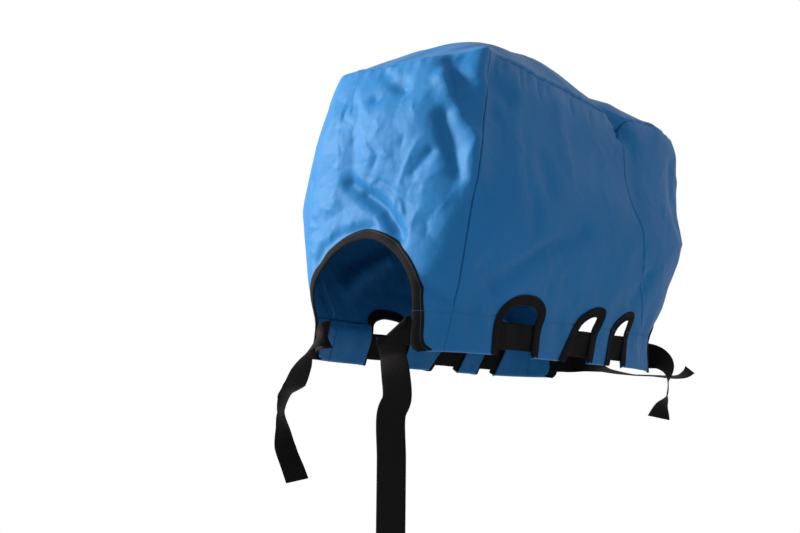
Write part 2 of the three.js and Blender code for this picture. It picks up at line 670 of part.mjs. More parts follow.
// A whole belt: its casing stretch and the free end past each arch
function belt(side, aftEnd, foreEnd, folded) {
  const casing = casingBelt(side);
  const tail = [...casing].reverse();
  const facing = ({ travel, edge, outward }) => Math.sign(travel.clone().cross(edge).dot(outward));
  const aftLeaving = leaving(tail[tail.length - 1], tail[tail.length - 2]);
  const foreLeaving = leaving(casing[casing.length - 1], casing[casing.length - 2]);
  const fold = folded ? diagonalFold(aftLeaving) : [];
  const aftFrom = folded ? fold[fold.length - 1] : casing[0];
  const aft = [...fold, ...freeEnd(aftEnd, aftFrom, facing(aftLeaving))].reverse();
  const fore = freeEnd(foreEnd, casing[casing.length - 1], facing(foreLeaving));
  const rows = [...aft, ...casing, ...fore];
  return slab(rows.map((row) => row.map((p) => p.outer)), rows.map((row) => row.map((p) => p.inner)));
}

const starboardBelt = belt(1, STARBOARD_AFT_END, STARBOARD_FORE_END, true);
const portBelt = belt(-1, PORT_AFT_END, PORT_FORE_END, false);

addPiece('top_panel', topPanel(), FINISHES.cloth);
addPanel('aft_panel', PANELS.aft, [aftArchCutter(0)]);
addPanel('fore_panel', PANELS.fore, [foreArchCutter(0)]);
addPanel('starboard_panel', PANELS.starboard, NOTCHES.map((notch) => notchCutter(notch, 1, 0)));
addPanel('port_panel', PANELS.port, NOTCHES.map((notch) => notchCutter(notch, -1, 0)));
addBinding('aft_arch_binding', PANELS.aft, aftArchCutter);
addBinding('fore_arch_binding', PANELS.fore, foreArchCutter);
NOTCHES.forEach((notch, i) => {
  const names = [`starboard_notch_binding_${i + 1}`, `port_notch_binding_${i + 1}`];
  addBinding(names[0], PANELS.starboard, (inset) => notchCutter(notch, 1, inset));
  addBinding(names[1], PANELS.port, (inset) => notchCutter(notch, -1, inset));
});
addPiece('starboard_belt', starboardBelt, FINISHES.webbing);
addPiece('port_belt', portBelt, FINISHES.webbing);

export default group;
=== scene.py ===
"""Draped cloth cover for an outboard motor: cloth panels, bindings, belts and stitching."""
import math
import random
from functools import lru_cache

import bmesh
import bpy
import numpy as np
from bpy.props import FloatProperty, FloatVectorProperty, PointerProperty
from mathutils import Matrix, Vector
from mathutils.bvhtree import BVHTree
from mathutils.geometry import delaunay_2d_cdt


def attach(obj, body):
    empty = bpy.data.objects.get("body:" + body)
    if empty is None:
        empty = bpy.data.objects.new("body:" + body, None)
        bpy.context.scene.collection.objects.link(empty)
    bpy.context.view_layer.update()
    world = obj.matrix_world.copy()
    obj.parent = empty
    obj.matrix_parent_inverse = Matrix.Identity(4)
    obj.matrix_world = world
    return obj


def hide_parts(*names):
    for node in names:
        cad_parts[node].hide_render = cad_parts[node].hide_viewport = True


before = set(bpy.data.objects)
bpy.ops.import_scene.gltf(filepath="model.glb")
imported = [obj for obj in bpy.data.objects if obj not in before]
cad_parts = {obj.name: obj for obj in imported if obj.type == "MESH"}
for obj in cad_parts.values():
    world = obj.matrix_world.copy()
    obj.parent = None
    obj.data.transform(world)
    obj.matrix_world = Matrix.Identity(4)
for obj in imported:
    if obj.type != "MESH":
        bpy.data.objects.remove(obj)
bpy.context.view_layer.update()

bl_info = {
    "name": "Outboard motor cover",
    "version": (1, 0, 0),
    "blender": (4, 5, 0),
    "location": "View3D > Sidebar > Cover",
    "description": "Builds a draped cloth cover with bound openings and webbing belts",
    "category": "Add Mesh",
}

MM = 0.001
MERGE = 1e-6

# Sizes and tables are in millimetres, in the frame's own axes, unless their comment says otherwise.
# A place on the wall is a round, its distance from the aft centre with + to starboard, and either a
# height or a drop, which is 0 at the top seam, 1 at the hem's stitching and HEM_DROP at the hem.
CLOTH = 1.2
STITCH_HEIGHT = -408
HEM_DEPTH = 50
HEM_DROP = 1.13
DROP_PER_MM = (HEM_DROP - 1) / HEM_DEPTH

# How much farther round the port side's seams and notches stand, at the stitching
SKEW = 30

# The casing in the hem: how deep it is, and where the belt's face stands behind the cloth's
CASING = 5.6
BELT_FACE = -2.1
WEB_WIDTH = 38
WEB_THICKNESS = 1.6

# The wall at seven levels, from the top seam (drop 0) past the hem stitching (drop 1):
# half width, aftmost and foremost reach, corner power, and where the upright seams stand
LEVEL_COLUMNS = ("drop", "half_width", "aft", "fore", "power", "aft_seam", "fore_seam")
LEVELS = (
    (0.00, 126, -285, 286, 5.5, 153, 486),
    (0.12, 146, -305, 303, 4.4, 164, 487),
    (0.30, 162, -325, 289, 4.0, 168, 498),
    (0.55, 180, -324, 261, 4.6, 162, 534),
    (0.80, 161, -334, 243, 4.5, 152, 556),
    (1.00, 130, -348, 241, 4.2, 144, 590),
    (1.13, 133, -352, 234, 4.1, 133, 594),
)

# The top seam's height and the crown's rise above it, along the boat's axis, and the knot on each
# side where the seam dips
CROWN_COLUMNS = ("y", "seam", "rise")
CROWN = (
    (-285, -59, 34),
    (-190, -51, 60),
    (-95, -64, 66),
    (0, -76, 77.6),
    (95, -90, 62),
    (190, -90, 55),
    (286, -114, 45),
)
CROWN_POWER = 2.2
KNOT = {"y": 88, "half_width": 18, "dip": 17}

# Main folds: a line of (round, height) points, its half width, and how far it stands out. A fold
# fades out at FOLD_REACH half widths.
FOLDS = (
    (((101, -63), (139, -108)), 14, -5),
    (((103, -90), (131, -150), (157, -186), (152, -228)), 12, 7),
    (((117, -146), (131, -192), (146, -230)), 12, -9),
    (((-34, -226), (23, -264), (52, -299), (57, -306)), 12, -9),
    (((-8, -243), (23, -264), (48, -294)), 10, -5),
    (((-27, -172), (-28, -198)), 15, -4),
    (((-88, -328), (-78, -311), (-46, -296), (4, -291)), 10, -5),
    (((0, -112), (41, -97)), 11, -5),
    (((0, -72), (43, -102)), 10, -4),
    (((102, -196), (76, -222)), 8, -4),
    (((106, -376), (135, -391)), 9, -5),
    (((226, -80), (233, -226)), 17, 3),
    (((317, -95), (336, -178)), 17, 3),
    (((287, -191), (301, -237)), 15, -4),
    (((268, -253), (273, -291)), 13, -4),
    (((168, -82), (215, -113)), 13, -6),
    (((172, -96), (191, -140)), 11, -5),
    (((382, -286), (307, -315), (247, -351), (218, -365)), 12, -6),
    (((184, -350), (211, -375)), 10, -5),
    (((364, -353), (390, -375)), 10, -4),
    (((570, -328), (538, -366)), 11, -5),
    (((486, -98), (487, -118)), 16, -7),
    (((-486, -98), (-487, -118)), 16, -7),
    (((-168, -84), (-212, -118)), 13, -6),
    (((-290, -185), (-304, -240)), 15, -4),
    (((-372, -292), (-300, -322), (-236, -356)), 12, -6),
    (((-560, -322), (-536, -362)), 11, -5),
    (((152, -56), (161, -103), (164, -168), (160, -236)), 20, 13),
    (((137, -50), (145, -104)), 16, 11),
    (((-153, -56), (-168, -103), (-177, -168), (-179, -240)), 24, 5),
    (((510, -100), (566, -112)), 34, 6),
    (((600, -100), (668, -108)), 27, 11),
    (((700, -226), (700, -250)), 18, -4),
    (((640, -150), (660, -240)), 16, -5),
    (((-650, -170), (-690, -262)), 16, -5),
)
FOLD_REACH = 2.6
HEM_WAVE = {"depth": 1.3, "length": 47, "fade": 36}

# Sharp creases seen in the cloth: a line, how far it stands out, and its width on each side. A
# crease tapers at its ends and fades out at CREASE_REACH widths.
CREASES = (
    (((98, -80), (118, -116), (140, -152), (159, -186)), 2.6, 8, 4),
    (((159, -186), (148, -214), (154, -238)), 2.2, 7, 4),
    (((100, -66), (118, -84), (131, -112)), -2.4, 6, 5),
    (((112, -122), (134, -126), (150, -124)), -2.0, 4, 6),
    (((84, -176), (62, -214), (47, -250)), 1.8, 4, 8),
    (((0, -172), (17, -192), (0, -219)), -1.7, 4, 6),
    (((17, -192), (40, -196)), 1.2, 4, 6),
    (((0, -219), (34, -236), (49, -252)), -1.8, 4, 5),
    (((49, -252), (40, -276), (31, -269)), 1.3, 4, 5),
    (((50, -229), (62, -246), (78, -262)), 1.5, 4, 5),
    (((75, -239), (92, -244)), -1.4, 4, 5),
    (((31, -269), (44, -280), (60, -284)), -1.2, 4, 4),
    (((112, -281), (128, -262)), 1.2, 4, 6),
    (((-47, -92), (-46, -105), (-38, -128)), -1.4, 4, 5),
    (((-21, -130), (-34, -152), (-30, -176)), -1.3, 4, 6),
    (((-62, -140), (-54, -182), (-60, -222)), 1.1, 6, 9),
    (((-20, -217), (-4, -232), (18, -240)), 1.5, 4, 5),
    (((-118, -204), (-119, -228)), -2.4, 4, 4),
    (((176, -56), (181, -80)), -3.4, 5, 4),
    (((196, -56), (193, -74)), -2.6, 4, 5),
    (((230, -58), (234, -92)), -3.2, 4, 4),
    (((249, -60), (246, -88)), -3.0, 4, 5),
    (((274, -64), (277, -100)), -3.4, 4, 4),
    (((297, -68), (292, -92)), -3.0, 5, 4),
    (((352, -80), (356, -110)), -2.6, 5, 4),
    (((404, -88), (399, -118)), -2.8, 4, 5),
    (((218, -363), (247, -350), (307, -314), (350, -298)), -2.2, 3, 10),
    (((195, -328), (203, -362)), -3.0, 4, 6),
    (((322, -350), (327, -380)), -2.4, 4, 6),
    (((255, -160), (251, -214), (258, -262)), -1.3, 8, 5),
    (((340, -150), (352, -220)), 1.2, 6, 10),
    (((196, -128), (226, -168), (262, -206)), 1.0, 8, 6),
    (((206, -300), (232, -322), (254, -330)), 1.1, 6, 6),
    (((218, -365), (206, -344), (176, -330)), -1.4, 5, 7),
    (((300, -320), (318, -344), (322, -362)), 1.2, 6, 6),
    (((486, -100), (470, -126), (460, -160)), -1.6, 6, 8),
    (((486, -104), (508, -128), (520, -156)), -1.4, 6, 8),
    (((-486, -100), (-470, -126), (-460, -160)), -1.6, 6, 8),
    (((-486, -104), (-508, -128), (-520, -156)), -1.4, 6, 8),
)
CREASE_REACH = 2.4
CREASE_POWER = 1.25
CREASE_ENDS = (0.04, 0.96)

# Short creases scattered over the wall: how many, their reach round it and up it, and the least
# and the most of their length and of their depth
SCATTERED_CREASES = (
    (60, (-120, 150), (-330, -75), (14, 40), (0.5, 1.3)),
    (36, (165, 560), (-385, -110), (26, 80), (0.3, 0.8)),
    (44, (-560, -165), (-385, -110), (26, 80), (0.3, 1.1)),
    (34, (560, 800), (-380, -130), (26, 80), (0.5, 1.4)),
    (34, (-800, -560), (-380, -130), (26, 80), (0.5, 1.4)),
)
CREASE_SEED = 11
CREASE_LEAN = 0.75
CREASE_BEND = 0.35
CREASE_WIDTHS = ((2, 5), (3, 8))

# Crumpled areas: their reach across and up the wall (or across and along the top panel), the
# spacing of the facets' corners and how far those stand out. From FORE_START on, both ways round
# the wall share the facets.
CRUMPLES = {
    "wall": (
        ((-140, 160), (-330, -70), 30, 2.0),
        ((160, 560), (-400, -90), 60, 1.8),
        ((-560, -160), (-400, -90), 50, 2.4),
        ((560, 900), (-400, -110), 46, 2.2),
    ),
    "top": (((-120, 120), (-275, 275), 52, 1.8),),
}
FORE_START = 560
FACET_SEED = 5
CORNER_JITTER = 0.38

# A slow swell over the wall, and one over the top panel: the lengths of its waves round and up,
# or across and along, and their phases
SWELLS = ((31, 47, 0.0), (19, -29, 1.1), (71, 17, 2.3))
SWELL_DEPTH = 0.35
TOP_SWELLS = ((21, 33, 0.0), (-41, 17, 0.0))
TOP_SWELL_DEPTH = 0.4

# Puckers beside stitching: the lengths and phases of their waves, and their reach and depth at
# the hem, the upright seams, and the wall's and the top panel's side of the top seam
PUCKER_WAVES = ((2.3, 0.0), (3.7, 1.3), (6.1, 0.7))
HEM_PUCKERS = (9, 1.1)
UPRIGHT_PUCKERS = (7, 0.7)
WALL_PUCKERS = (11, 1.5)
TOP_PUCKERS = (9, 1.2)
TOP_PUCKER_SHARE = 0.8

# Soft wrinkles of the top panel: from, to (x, y), half width and depth
TOP_WRINKLES = (
    ((-20, -250), (30, -150), 16, 1.6),
    ((60, -240), (96, -170), 12, -1.8),
    ((-90, -200), (-40, -120), 14, -1.6),
    ((70, -60), (118, -20), 10, 1.4),
    ((104, 88), (30, 96), 15, -2.4),
    ((-104, 88), (-30, 96), 15, -2.4),
    ((96, 120), (40, 180), 12, 1.6),
    ((-96, 120), (-50, 190), 12, 1.4),
    ((20, 200), (60, 262), 14, -1.6),
    ((-60, 230), (-20, 270), 12, 1.4),
    ((40, -20), (90, 40), 12, -1.2),
    ((-100, -60), (-60, 10), 12, 1.2),
)

# The arches at the ends, and the three leaning notches on each side: the middle and half width
# of a notch at its foot and its waist, the middle of its head, and the height of its top
AFT_ARCH = {"centre": -7, "half_width": 103, "top": -292, "spring": -385, "power": 1.75,
            "left_foot": 6, "right_foot": 8}
FORE_ARCH = {"centre": -6, "half_width": 97, "top": -345, "spring": -400, "power": 2.0,
             "left_foot": 8, "right_foot": 6}
FOOT_HEIGHT = 2.6
FOOT_EASE = 0.3
NOTCHES = (
    (-181, 48, -157, 50, -154, -378),
    (-45, 42, 4, 30, 18, -381),
    (60, 27, 93, 25, 104, -380),
)
NOTCH_WAIST_HEIGHT = -406
NOTCH_ROUND = 0.62
NOTCH_LEAN = (0.5, 0.2)
CUT_BOTTOM = -475
BEYOND_ENDS = 460
BEYOND_SIDES = 260

# Binding tape: its finished width, its own thickness, and its section folded over the cloth's
# edge as (into the opening, out of the cloth). The cloth's edge reaches into the fold, and it
# has no fine creases beside it.
TAPE_WIDTH = 12
TAPE_SHEET = 0.6
TAPE_SECTION = ((-1.5, 0.7), (-0.9, 1.1), (0.4, 1.4), (3.5, 1.5), (7, 1.5), (9.8, 1.3), (11.2, 0.8),
                (11.8, 0.05), (12, -0.5), (11.8, -1.05), (11.2, -1.5), (9.8, -1.85), (7, -1.9), (3.5, -1.9),
                (0.4, -1.9), (-1.2, -1.9))
TAPE_STEP = 2.4
TAPE_COLUMN = 2.2
TAPE_WOBBLE = {"depth": 0.12, "length": 2.1}
TAPE_BELOW_HEM = 2.9
CLOTH_IN_TAPE = 4.0
TUCK = 0.25
FLAT_BESIDE = {"width": 2, "fade": 16}

# Free ends of the belts: the webbing's middle, and its width's heading and tilt in degrees
STARBOARD_AFT_END = (
    (59, -343, -466, 12, 0),
    (63, -342, -492, 32, 0),
    (64, -341, -522, 40, 0),
    (58, -345, -541, 40, 2),
    (58, -345, -600, 40, 0),
    (58, -346, -670, 39, 0),
    (57, -346, -738, 40, 0),
)
PORT_AFT_END = (
    (-80, -336, -433, 90, 84),
    (-54, -347, -432, 90, 78),
    (-44, -358, -434, 90, 68),
    (-52, -367, -441, 100, 48),
    (-68, -368, -455, 105, 34),
    (-84, -365, -477, 80, 16),
    (-102, -360, -499, 75, 6),
    (-121, -358, -513, 110, 4),
    (-129, -357, -534, 120, 0),
    (-126, -356, -556, 104, 0),
    (-122, -355, -582, 84, 3),
    (-110, -352, -611, 80, 5),
    (-104, -350, -627, 80, 8),
)
STARBOARD_FORE_END = (
    (80, 226, -433, 90, 85),
    (67, 238, -432, 90, 80),
    (74, 251, -431, 90, 76),
    (88, 254, -437, 70, 66),
    (101, 253, -449, 90, 42),
    (109, 251, -469, 120, 14),
    (108, 250, -494, 125, -2),
    (99, 248, -510, 95, -10),
    (94, 247, -529, 60, -6),
)
PORT_FORE_END = (
    (-64, 232, -434, 90, 82),
    (-38, 245, -440, 110, 44),
    (-6, 255, -451, 112, 12),
    (34, 264, -459, 116, 5),
    (62, 279, -461, 122, 6),
    (97, 303, -463, 126, 12),
    (107, 310, -458, 130, 22),
    (112, 313, -452, 132, 34),
)

# The belts: the fold that turns the webbing down, its place in the casing, its ribs, and how much
# of its thickness is left at the selvedges
FOLD_RADIUS = 2.4
FOLD_LEAD = WEB_WIDTH / 2 + 3
FOLD_DEGREES = 12
BELT_DROPS = (1.018, 1.114)
BEHIND_TAPE = TAPE_WIDTH - 2
CASING_STEPS = 150
RIB_DEPTH = 0.072
SELVEDGE = 0.45
WEB_STEP = 1.0
WEB_COLUMNS = 9
WEB_COLUMN = 5

# Sewing thread: its thickness, how far it lies under the cloth's face and over the tape's, and
# its place on the tape
THREAD_WIDTH = 0.55
THREAD_SINK = -0.95
THREAD_OVER_TAPE = 2.5
THREAD_ON_TAPE = (1.6, 1.5)
STITCH_GAP = 0.5
STITCH_BATCH = 40

# A place inside the walls, in metres, which their faces look away from
WALL_MIDDLE = (0, -0.03, 0)

# Steps of the meshes, and the part of the wall that bindings and stitches are placed on
RING_STEPS = 720
PANEL_STEP = {"aft_panel": 2.3, "starboard_panel": 3.2, "port_panel": 3.6, "fore_panel": 3.6}
TOP_STEP = 3.6
TOP_RINGS = 46
TOP_MIDDLE = (0.955, 0.02)
SKIN_STEP = 3.6
SKIN_TOP = 0.4
SKIN_BELOW = (1.14, 1.15)
SKIN_MARGIN = 6
SKIN_COLUMNS = 120

# The sewn edge: how far the cloth rolls in, how deep the seam allowance stands behind it, and the
# places of its close steps. An upright seam lies flatter in the hem, past UPRIGHT_END's drop.
ROLL = 3.4
ALLOWANCE = 6.0
SEAM_CLEARANCE = 0.12
EDGE_STEPS = (0, 0.12, 0.45, 1.0, 1.8, 2.6, ROLL, 4.6)
EDGE_END = 6
UPRIGHT_END = {"drop": 0.975, "ease": 0.006, "least": 0.22}

# The wall's section: millimetres below the top seam; the plain wall, from millimetres below the
# seam to a drop, which leaves CLOSE_STEPS millimetres to the close steps; drops about the hem's
# stitching; the hem, its turn and the casing's back up to BACK_TO; and drops and offsets where the
# back is sewn. The stitching draws in a groove.
TOP_STEPS = (0.3, 0.6, 1.0, 1.7, 2.9, 4.6)
PLAIN_FROM = 7
PLAIN_TO = 0.968
CLOSE_STEPS = 18
STITCH_DROPS = (0.976, 0.984, 0.99, 0.994, 0.9975, 1.0, 1.0026, 1.006, 1.012, 1.02)
HEM_FROM = 1.03
HEM_STEPS = 12
HEM_TURN_STEPS = 9
BACK_TO = 1.016
BACK_STEPS = 13
CASING_BACK = ((1.008, -4.9), (1.0, -3.9), (0.992, -3.5), (0.984, -3.4))
STITCH_GROOVE = {"depth": 1.1, "half_width": 1.6}

# The top panel's rim: its close steps, how far in a share of 1 stands for, and its raised seam
RIM_STEPS = (0.15, 0.4, 0.9, 1.7, 2.6, 4)
RIM_SPAN = 150
RIM_BEAD = {"rise": 1.5, "at": 6, "half_width": 3.5}
TOP_ALLOWANCE = {"down": 3.0, "in": 2.0}

# Flat sizes as cut (width, length, area), in metres and square metres
PANEL_CUTS = {
    "aft_panel": (0.40, 0.47, 0.125),
    "starboard_panel": (0.45, 0.47, 0.165),
    "port_panel": (0.45, 0.47, 0.165),
    "fore_panel": (0.54, 0.46, 0.185),
}
TOP_CUT = (0.29, 0.62, 0.165)
TAPE_FLAT = 0.030
WEB_LENGTH = 1.09

# The finishes: pitches of the tape's twill and of the webbing's ribs and rows, in metres, and the
# colours of the two threads
TWILL_PITCH = 0.0011
RIB_PITCH = 0.002
ROW_PITCH = 0.0016
HEM_THREAD = (0.012, 0.07, 0.19)
TAPE_THREAD = (0.012, 0.012, 0.014)

# The studio, in metres: the camera's place and turn in degrees, what the lamps aim at, and each
# lamp's place, share of the key light's power, and size
CAMERA_PLACE = (1.5554, -2.1059, -0.6422)
CAMERA_TURN = (97.235, 0, 40.1)
CAMERA_LENS = 80
CAMERA_SENSOR = 36
LAMP_AIM = (0, -0.05, -0.25)
LAMPS = {
    "key": ((-2.8, -2.4, 1.1), 1.0, 0.9),
    "fill": ((3.2, -0.6, 0.9), 0.008, 2.0),
}
LAMP_COLOUR = (1.0, 0.90, 0.80)
FLOOR_RADIUS = 9.0
FLOOR_GREYS = (0.62, 0.66)


def lerp(a, b, t):
    return a + (b - a) * t


def signed_power(value, power):
    return np.sign(value) * np.abs(value) ** power


def table_value(rows, columns, column, at):
    """Smooth curve through a table's rows: a cubic on each span, with centred slopes."""
    keys = np.array([row[0] for row in rows], float)
    values = np.array([row[columns.index(column)] for row in rows], float)
    before = np.maximum(np.arange(len(keys)) - 1, 0)
    after = np.minimum(np.arange(len(keys)) + 1, len(keys) - 1)
    slopes = (values[after] - values[before]) / (keys[after] - keys[before])
    i = np.clip(np.searchsorted(keys, at, side="right") - 1, 0, len(keys) - 2)
    span = keys[i + 1] - keys[i]
    t = np.clip((at - keys[i]) / span, 0, 1)
    u = 1 - t
    return (values[i] * u * u * (1 + 2 * t) + values[i + 1] * t * t * (3 - 2 * t)
            + slopes[i] * span * t * u * u - slopes[i + 1] * span * t * t * u)


def level_value(column, drop):
    return table_value(LEVELS, LEVEL_COLUMNS, column, drop)


def crown_value(column, y):
    return table_value(CROWN, CROWN_COLUMNS, column, y)


def seam_height(y):
    return crown_value("seam", y) - KNOT["dip"] * np.exp(-((y - KNOT["y"]) / KNOT["half_width"]) ** 2)


@lru_cache(maxsize=None)
def ring(drop):
    """Half of the wall's plan at a level, from the aft centre to the fore centre: the length
    walked and the points."""
    level = min(max(drop, 0), HEM_DROP)
    half_width, aft, fore, power = (level_value(c, level) for c in ("half_width", "aft", "fore", "power"))
    angle = np.linspace(0, math.pi, RING_STEPS + 1)
    x = half_width * signed_power(np.sin(angle), 2 / power)
    y = (aft + fore) / 2 - (fore - aft) / 2 * signed_power(np.cos(angle), 2 / power)
    top = seam_height(lerp(LEVELS[0][2], LEVELS[0][3], (y - aft) / (fore - aft)))
    z = lerp(top, STITCH_HEIGHT, drop) if drop < 1 else 0 * x + STITCH_HEIGHT - (drop - 1) / DROP_PER_MM
    points = np.column_stack((x, y, z))
    walked = np.concatenate(([0], np.cumsum(np.linalg.norm(np.diff(points, axis=0), axis=1))))
    return walked, points


def half_round(drop):
    return ring(drop)[0][-1]


def wall_row(rounds, drop):
    """Points of the plain wall at distances round from the aft centre, and those distances
    wrapped to the nearer way round."""
    walked, points = ring(drop)
    wrapped = rounds - 2 * walked[-1] * np.round(rounds / (2 * walked[-1]))
    row = np.column_stack([np.interp(np.abs(wrapped), walked, points[:, k]) for k in range(3)])
    row[:, 0] *= np.where(wrapped < 0, -1, 1)
    return row, wrapped


def wall_normals(rounds, drop):
    """Ways out of the plain wall, from places a step apart."""
    step, drop_step = 5, 0.012
    across = wall_row(rounds + step, drop)[0] - wall_row(rounds - step, drop)[0]
    highest = min(max(drop - drop_step, 0), HEM_DROP - drop_step)
    down = wall_row(rounds, min(drop + drop_step, HEM_DROP))[0] - wall_row(rounds, highest)[0]
    normals = np.cross(down, across)
    return normals / np.linalg.norm(normals, axis=1, keepdims=True)


def nearest_on(path, rounds, heights):
    """Distance from a folded line, which side of it a point is on, and how far along it is."""
    best = np.full(rounds.shape, np.inf)
    side = np.ones(rounds.shape)
    along = np.zeros(rounds.shape)
    walked = 0.0
    for (ax, ay), (bx, by) in zip(path, path[1:]):
        dx, dy = bx - ax, by - ay
        length = math.hypot(dx, dy)
        t = np.clip(((rounds - ax) * dx + (heights - ay) * dy) / length ** 2, 0, 1)
        away = np.hypot(rounds - ax - t * dx, heights - ay - t * dy)
        closer = away < best
        best = np.where(closer, away, best)
        side = np.where(closer, np.sign((rounds - ax) * dy - (heights - ay) * dx), side)
        along = np.where(closer, walked + t * length, along)
        walked += length
    return best, side, along / walked


@lru_cache(maxsize=None)
def facets(area):
    """Flat facets between scattered corners: each a triangle of (across, along, rise)."""
    draw = random.Random(FACET_SEED)
    found = []
    for (left, right), (low, high), spacing, rise in CRUMPLES[area]:
        corners = []
        for i in range(round((right - left) / spacing) + 1):
            for k in range(round((high - low) / spacing) + 1):
                x = left + i * spacing + draw.uniform(-CORNER_JITTER, CORNER_JITTER) * spacing
                y = low + k * spacing + draw.uniform(-CORNER_JITTER, CORNER_JITTER) * spacing
                edge = min(x - left, right - x, y - low, high - y)
                fade = min(max(edge / spacing, 0), 1)
                corners.append((x, y, draw.uniform(-1, 1) * rise * fade))
        flat = [Vector(c[:2]) for c in corners]
        triangles = delaunay_2d_cdt(flat, [], [], 0, 1e-6)[2]
        found += [tuple(corners[v] for v in triangle) for triangle in triangles]
    return found


def facet_depth(area, rounds, heights):
    """How far the crumpled facets stand out at each place."""
    depth = np.zeros(rounds.shape)
    for (ax, ay, az), (bx, by, bz), (cx, cy, cz) in facets(area):
        near = np.nonzero((rounds >= min(ax, bx, cx)) & (rounds <= max(ax, bx, cx))
                          & (heights >= min(ay, by, cy)) & (heights <= max(ay, by, cy)))
        if not near[0].size:
            continue
        x, y = rounds[near], heights[near]
        whole = (bx - ax) * (cy - ay) - (cx - ax) * (by - ay)
        u = ((x - ax) * (cy - ay) - (cx - ax) * (y - ay)) / whole
        v = ((bx - ax) * (y - ay) - (x - ax) * (by - ay)) / whole
        hit = (u >= 0) & (v >= 0) & (u + v <= 1)
        depth[near] = np.where(hit, az + u * (bz - az) + v * (cz - az), depth[near])
    return depth


@lru_cache(maxsize=None)
def all_creases():
    """The creases seen in the cloth, and short random ones over the whole wall."""
    draw = random.Random(CREASE_SEED)
    left, right = CREASE_WIDTHS
    lines = list(CREASES)
    for count, rounds, heights, length, depth in SCATTERED_CREASES:
        for _ in range(count):
            x, y = draw.uniform(*rounds), draw.uniform(*heights)
            heading = draw.gauss(math.pi / 2, CREASE_LEAN)
            size = draw.uniform(*length)
            path = [(x, y)]
            for _ in range(2):
                heading += draw.gauss(0, CREASE_BEND)
                x += size / 2 * math.cos(heading)
                y += size / 2 * math.sin(heading)
                path.append((x, y))
            lines.append((tuple(path), draw.choice((-1, 1)) * draw.uniform(*depth),
                          draw.uniform(*left), draw.uniform(*right)))
    return tuple(lines)


def gathers(along, away, reach, depth):
    """Small puckers that a line of stitching draws into the cloth beside it."""
    wave = sum(np.sin(along / length + phase) for length, phase in PUCKER_WAVES)
    return depth / len(PUCKER_WAVES) * wave * np.exp(-np.abs(away) / reach)


def near_path(path, rounds, heights, reach):
    """The places within reach of a line, as indices."""
    xs, ys = zip(*path)
    return np.nonzero((rounds > min(xs) - reach) & (rounds < max(xs) + reach)
                      & (heights > min(ys) - reach) & (heights < max(ys) + reach))


def main_fold_depth(rounds, heights):
    """How far the main folds and the hem's waves move the cloth out, in millimetres."""
    depth = np.zeros(rounds.shape)
    for path, half_width, most in FOLDS:
        near = near_path(path, rounds, heights, FOLD_REACH * half_width)
        away = nearest_on(path, rounds[near], heights[near])[0]
        depth[near] += most * np.exp(-(away / half_width) ** 2)
    wave = np.exp(-((heights - STITCH_HEIGHT) / HEM_WAVE["fade"]) ** 2)
    return depth + HEM_WAVE["depth"] * wave * np.sin(2 * math.pi * rounds / HEM_WAVE["length"])


def fold_depth(rounds, heights, crease_depth):
    """The main folds with all creases, crumples and gathers."""
    depth = main_fold_depth(rounds, heights)
    for path, most, left, right in all_creases():
        near = near_path(path, rounds, heights, CREASE_REACH * max(left, right))
        away, side, along = nearest_on(path, rounds[near], heights[near])
        width = np.where(side > 0, left, right)
        taper = np.sqrt(np.sin(math.pi * np.clip(along, *CREASE_ENDS)))
        depth[near] += crease_depth[near] * most * taper * np.exp(-(away / width) ** CREASE_POWER)
    either_way = np.abs(rounds)
    crumpled = facet_depth("wall", np.where(either_way > FORE_START, either_way, rounds), heights)
    depth += crease_depth * (crumpled + gathers(either_way, heights - STITCH_HEIGHT, *HEM_PUCKERS))
    swell = sum(np.sin(either_way / across + heights / up + phase) for across, up, phase in SWELLS)
    return depth + SWELL_DEPTH * swell


def seam_place(name, drop):
    """How far round an upright seam stands on the starboard side."""
    return level_value(name, min(drop, HEM_DROP))


def port_seam_place(name, drop):
    return seam_place(name, drop) + SKEW * drop


# Where each wall panel starts and ends round the wall
PANEL_ENDS = {
    "aft_panel": lambda drop: (-port_seam_place("aft_seam", drop), seam_place("aft_seam", drop)),
    "starboard_panel": lambda drop: (seam_place("aft_seam", drop), seam_place("fore_seam", drop)),
    "port_panel": lambda drop: (-port_seam_place("fore_seam", drop), -port_seam_place("aft_seam", drop)),
    "fore_panel": lambda drop: (seam_place("fore_seam", drop),
                                2 * half_round(drop) - port_seam_place("fore_seam", drop)),
}


def roll_in(distance, radius):
    """How far a sewn edge rolls inwards at a distance from its seam."""
    reach = np.clip(1 - distance / radius, 0, 1)
    return -radius * (1 - np.sqrt(1 - reach ** 2))


def edge_places(length, step):
    """Places across a panel between two seams, with close steps where its edges roll in."""
    inner = length - 2 * EDGE_END
    middle = np.linspace(EDGE_END, length - EDGE_END, max(2, round(inner / step)))
    return np.concatenate((EDGE_STEPS, middle, [length - d for d in reversed(EDGE_STEPS)]))


def wall_height():
    """From the top seam, at the origin's station, down to the hem's stitching."""
    return seam_height(0.0) - STITCH_HEIGHT


def wall_stations(step):
    """The wall's section as (drop, offset), from the top seam down, round the hem and up behind
    the belt."""
    tall = wall_height()
    drops = [d / tall for d in TOP_STEPS]
    drops += list(np.linspace(PLAIN_FROM / tall, PLAIN_TO, round((tall - CLOSE_STEPS) / step)))
    drops += [*STITCH_DROPS, *np.linspace(HEM_FROM, HEM_DROP, HEM_STEPS)]
    stations = [(drop, 0.0) for drop in drops]
    for angle in np.linspace(0, math.pi, HEM_TURN_STEPS)[1:-1]:
        stations.append((HEM_DROP + CASING / 2 * math.sin(angle) * DROP_PER_MM,
                         CASING / 2 * (math.cos(angle) - 1)))
    stations += [(drop, -CASING) for drop in np.linspace(HEM_DROP, BACK_TO, BACK_STEPS)]
    return stations + list(CASING_BACK)


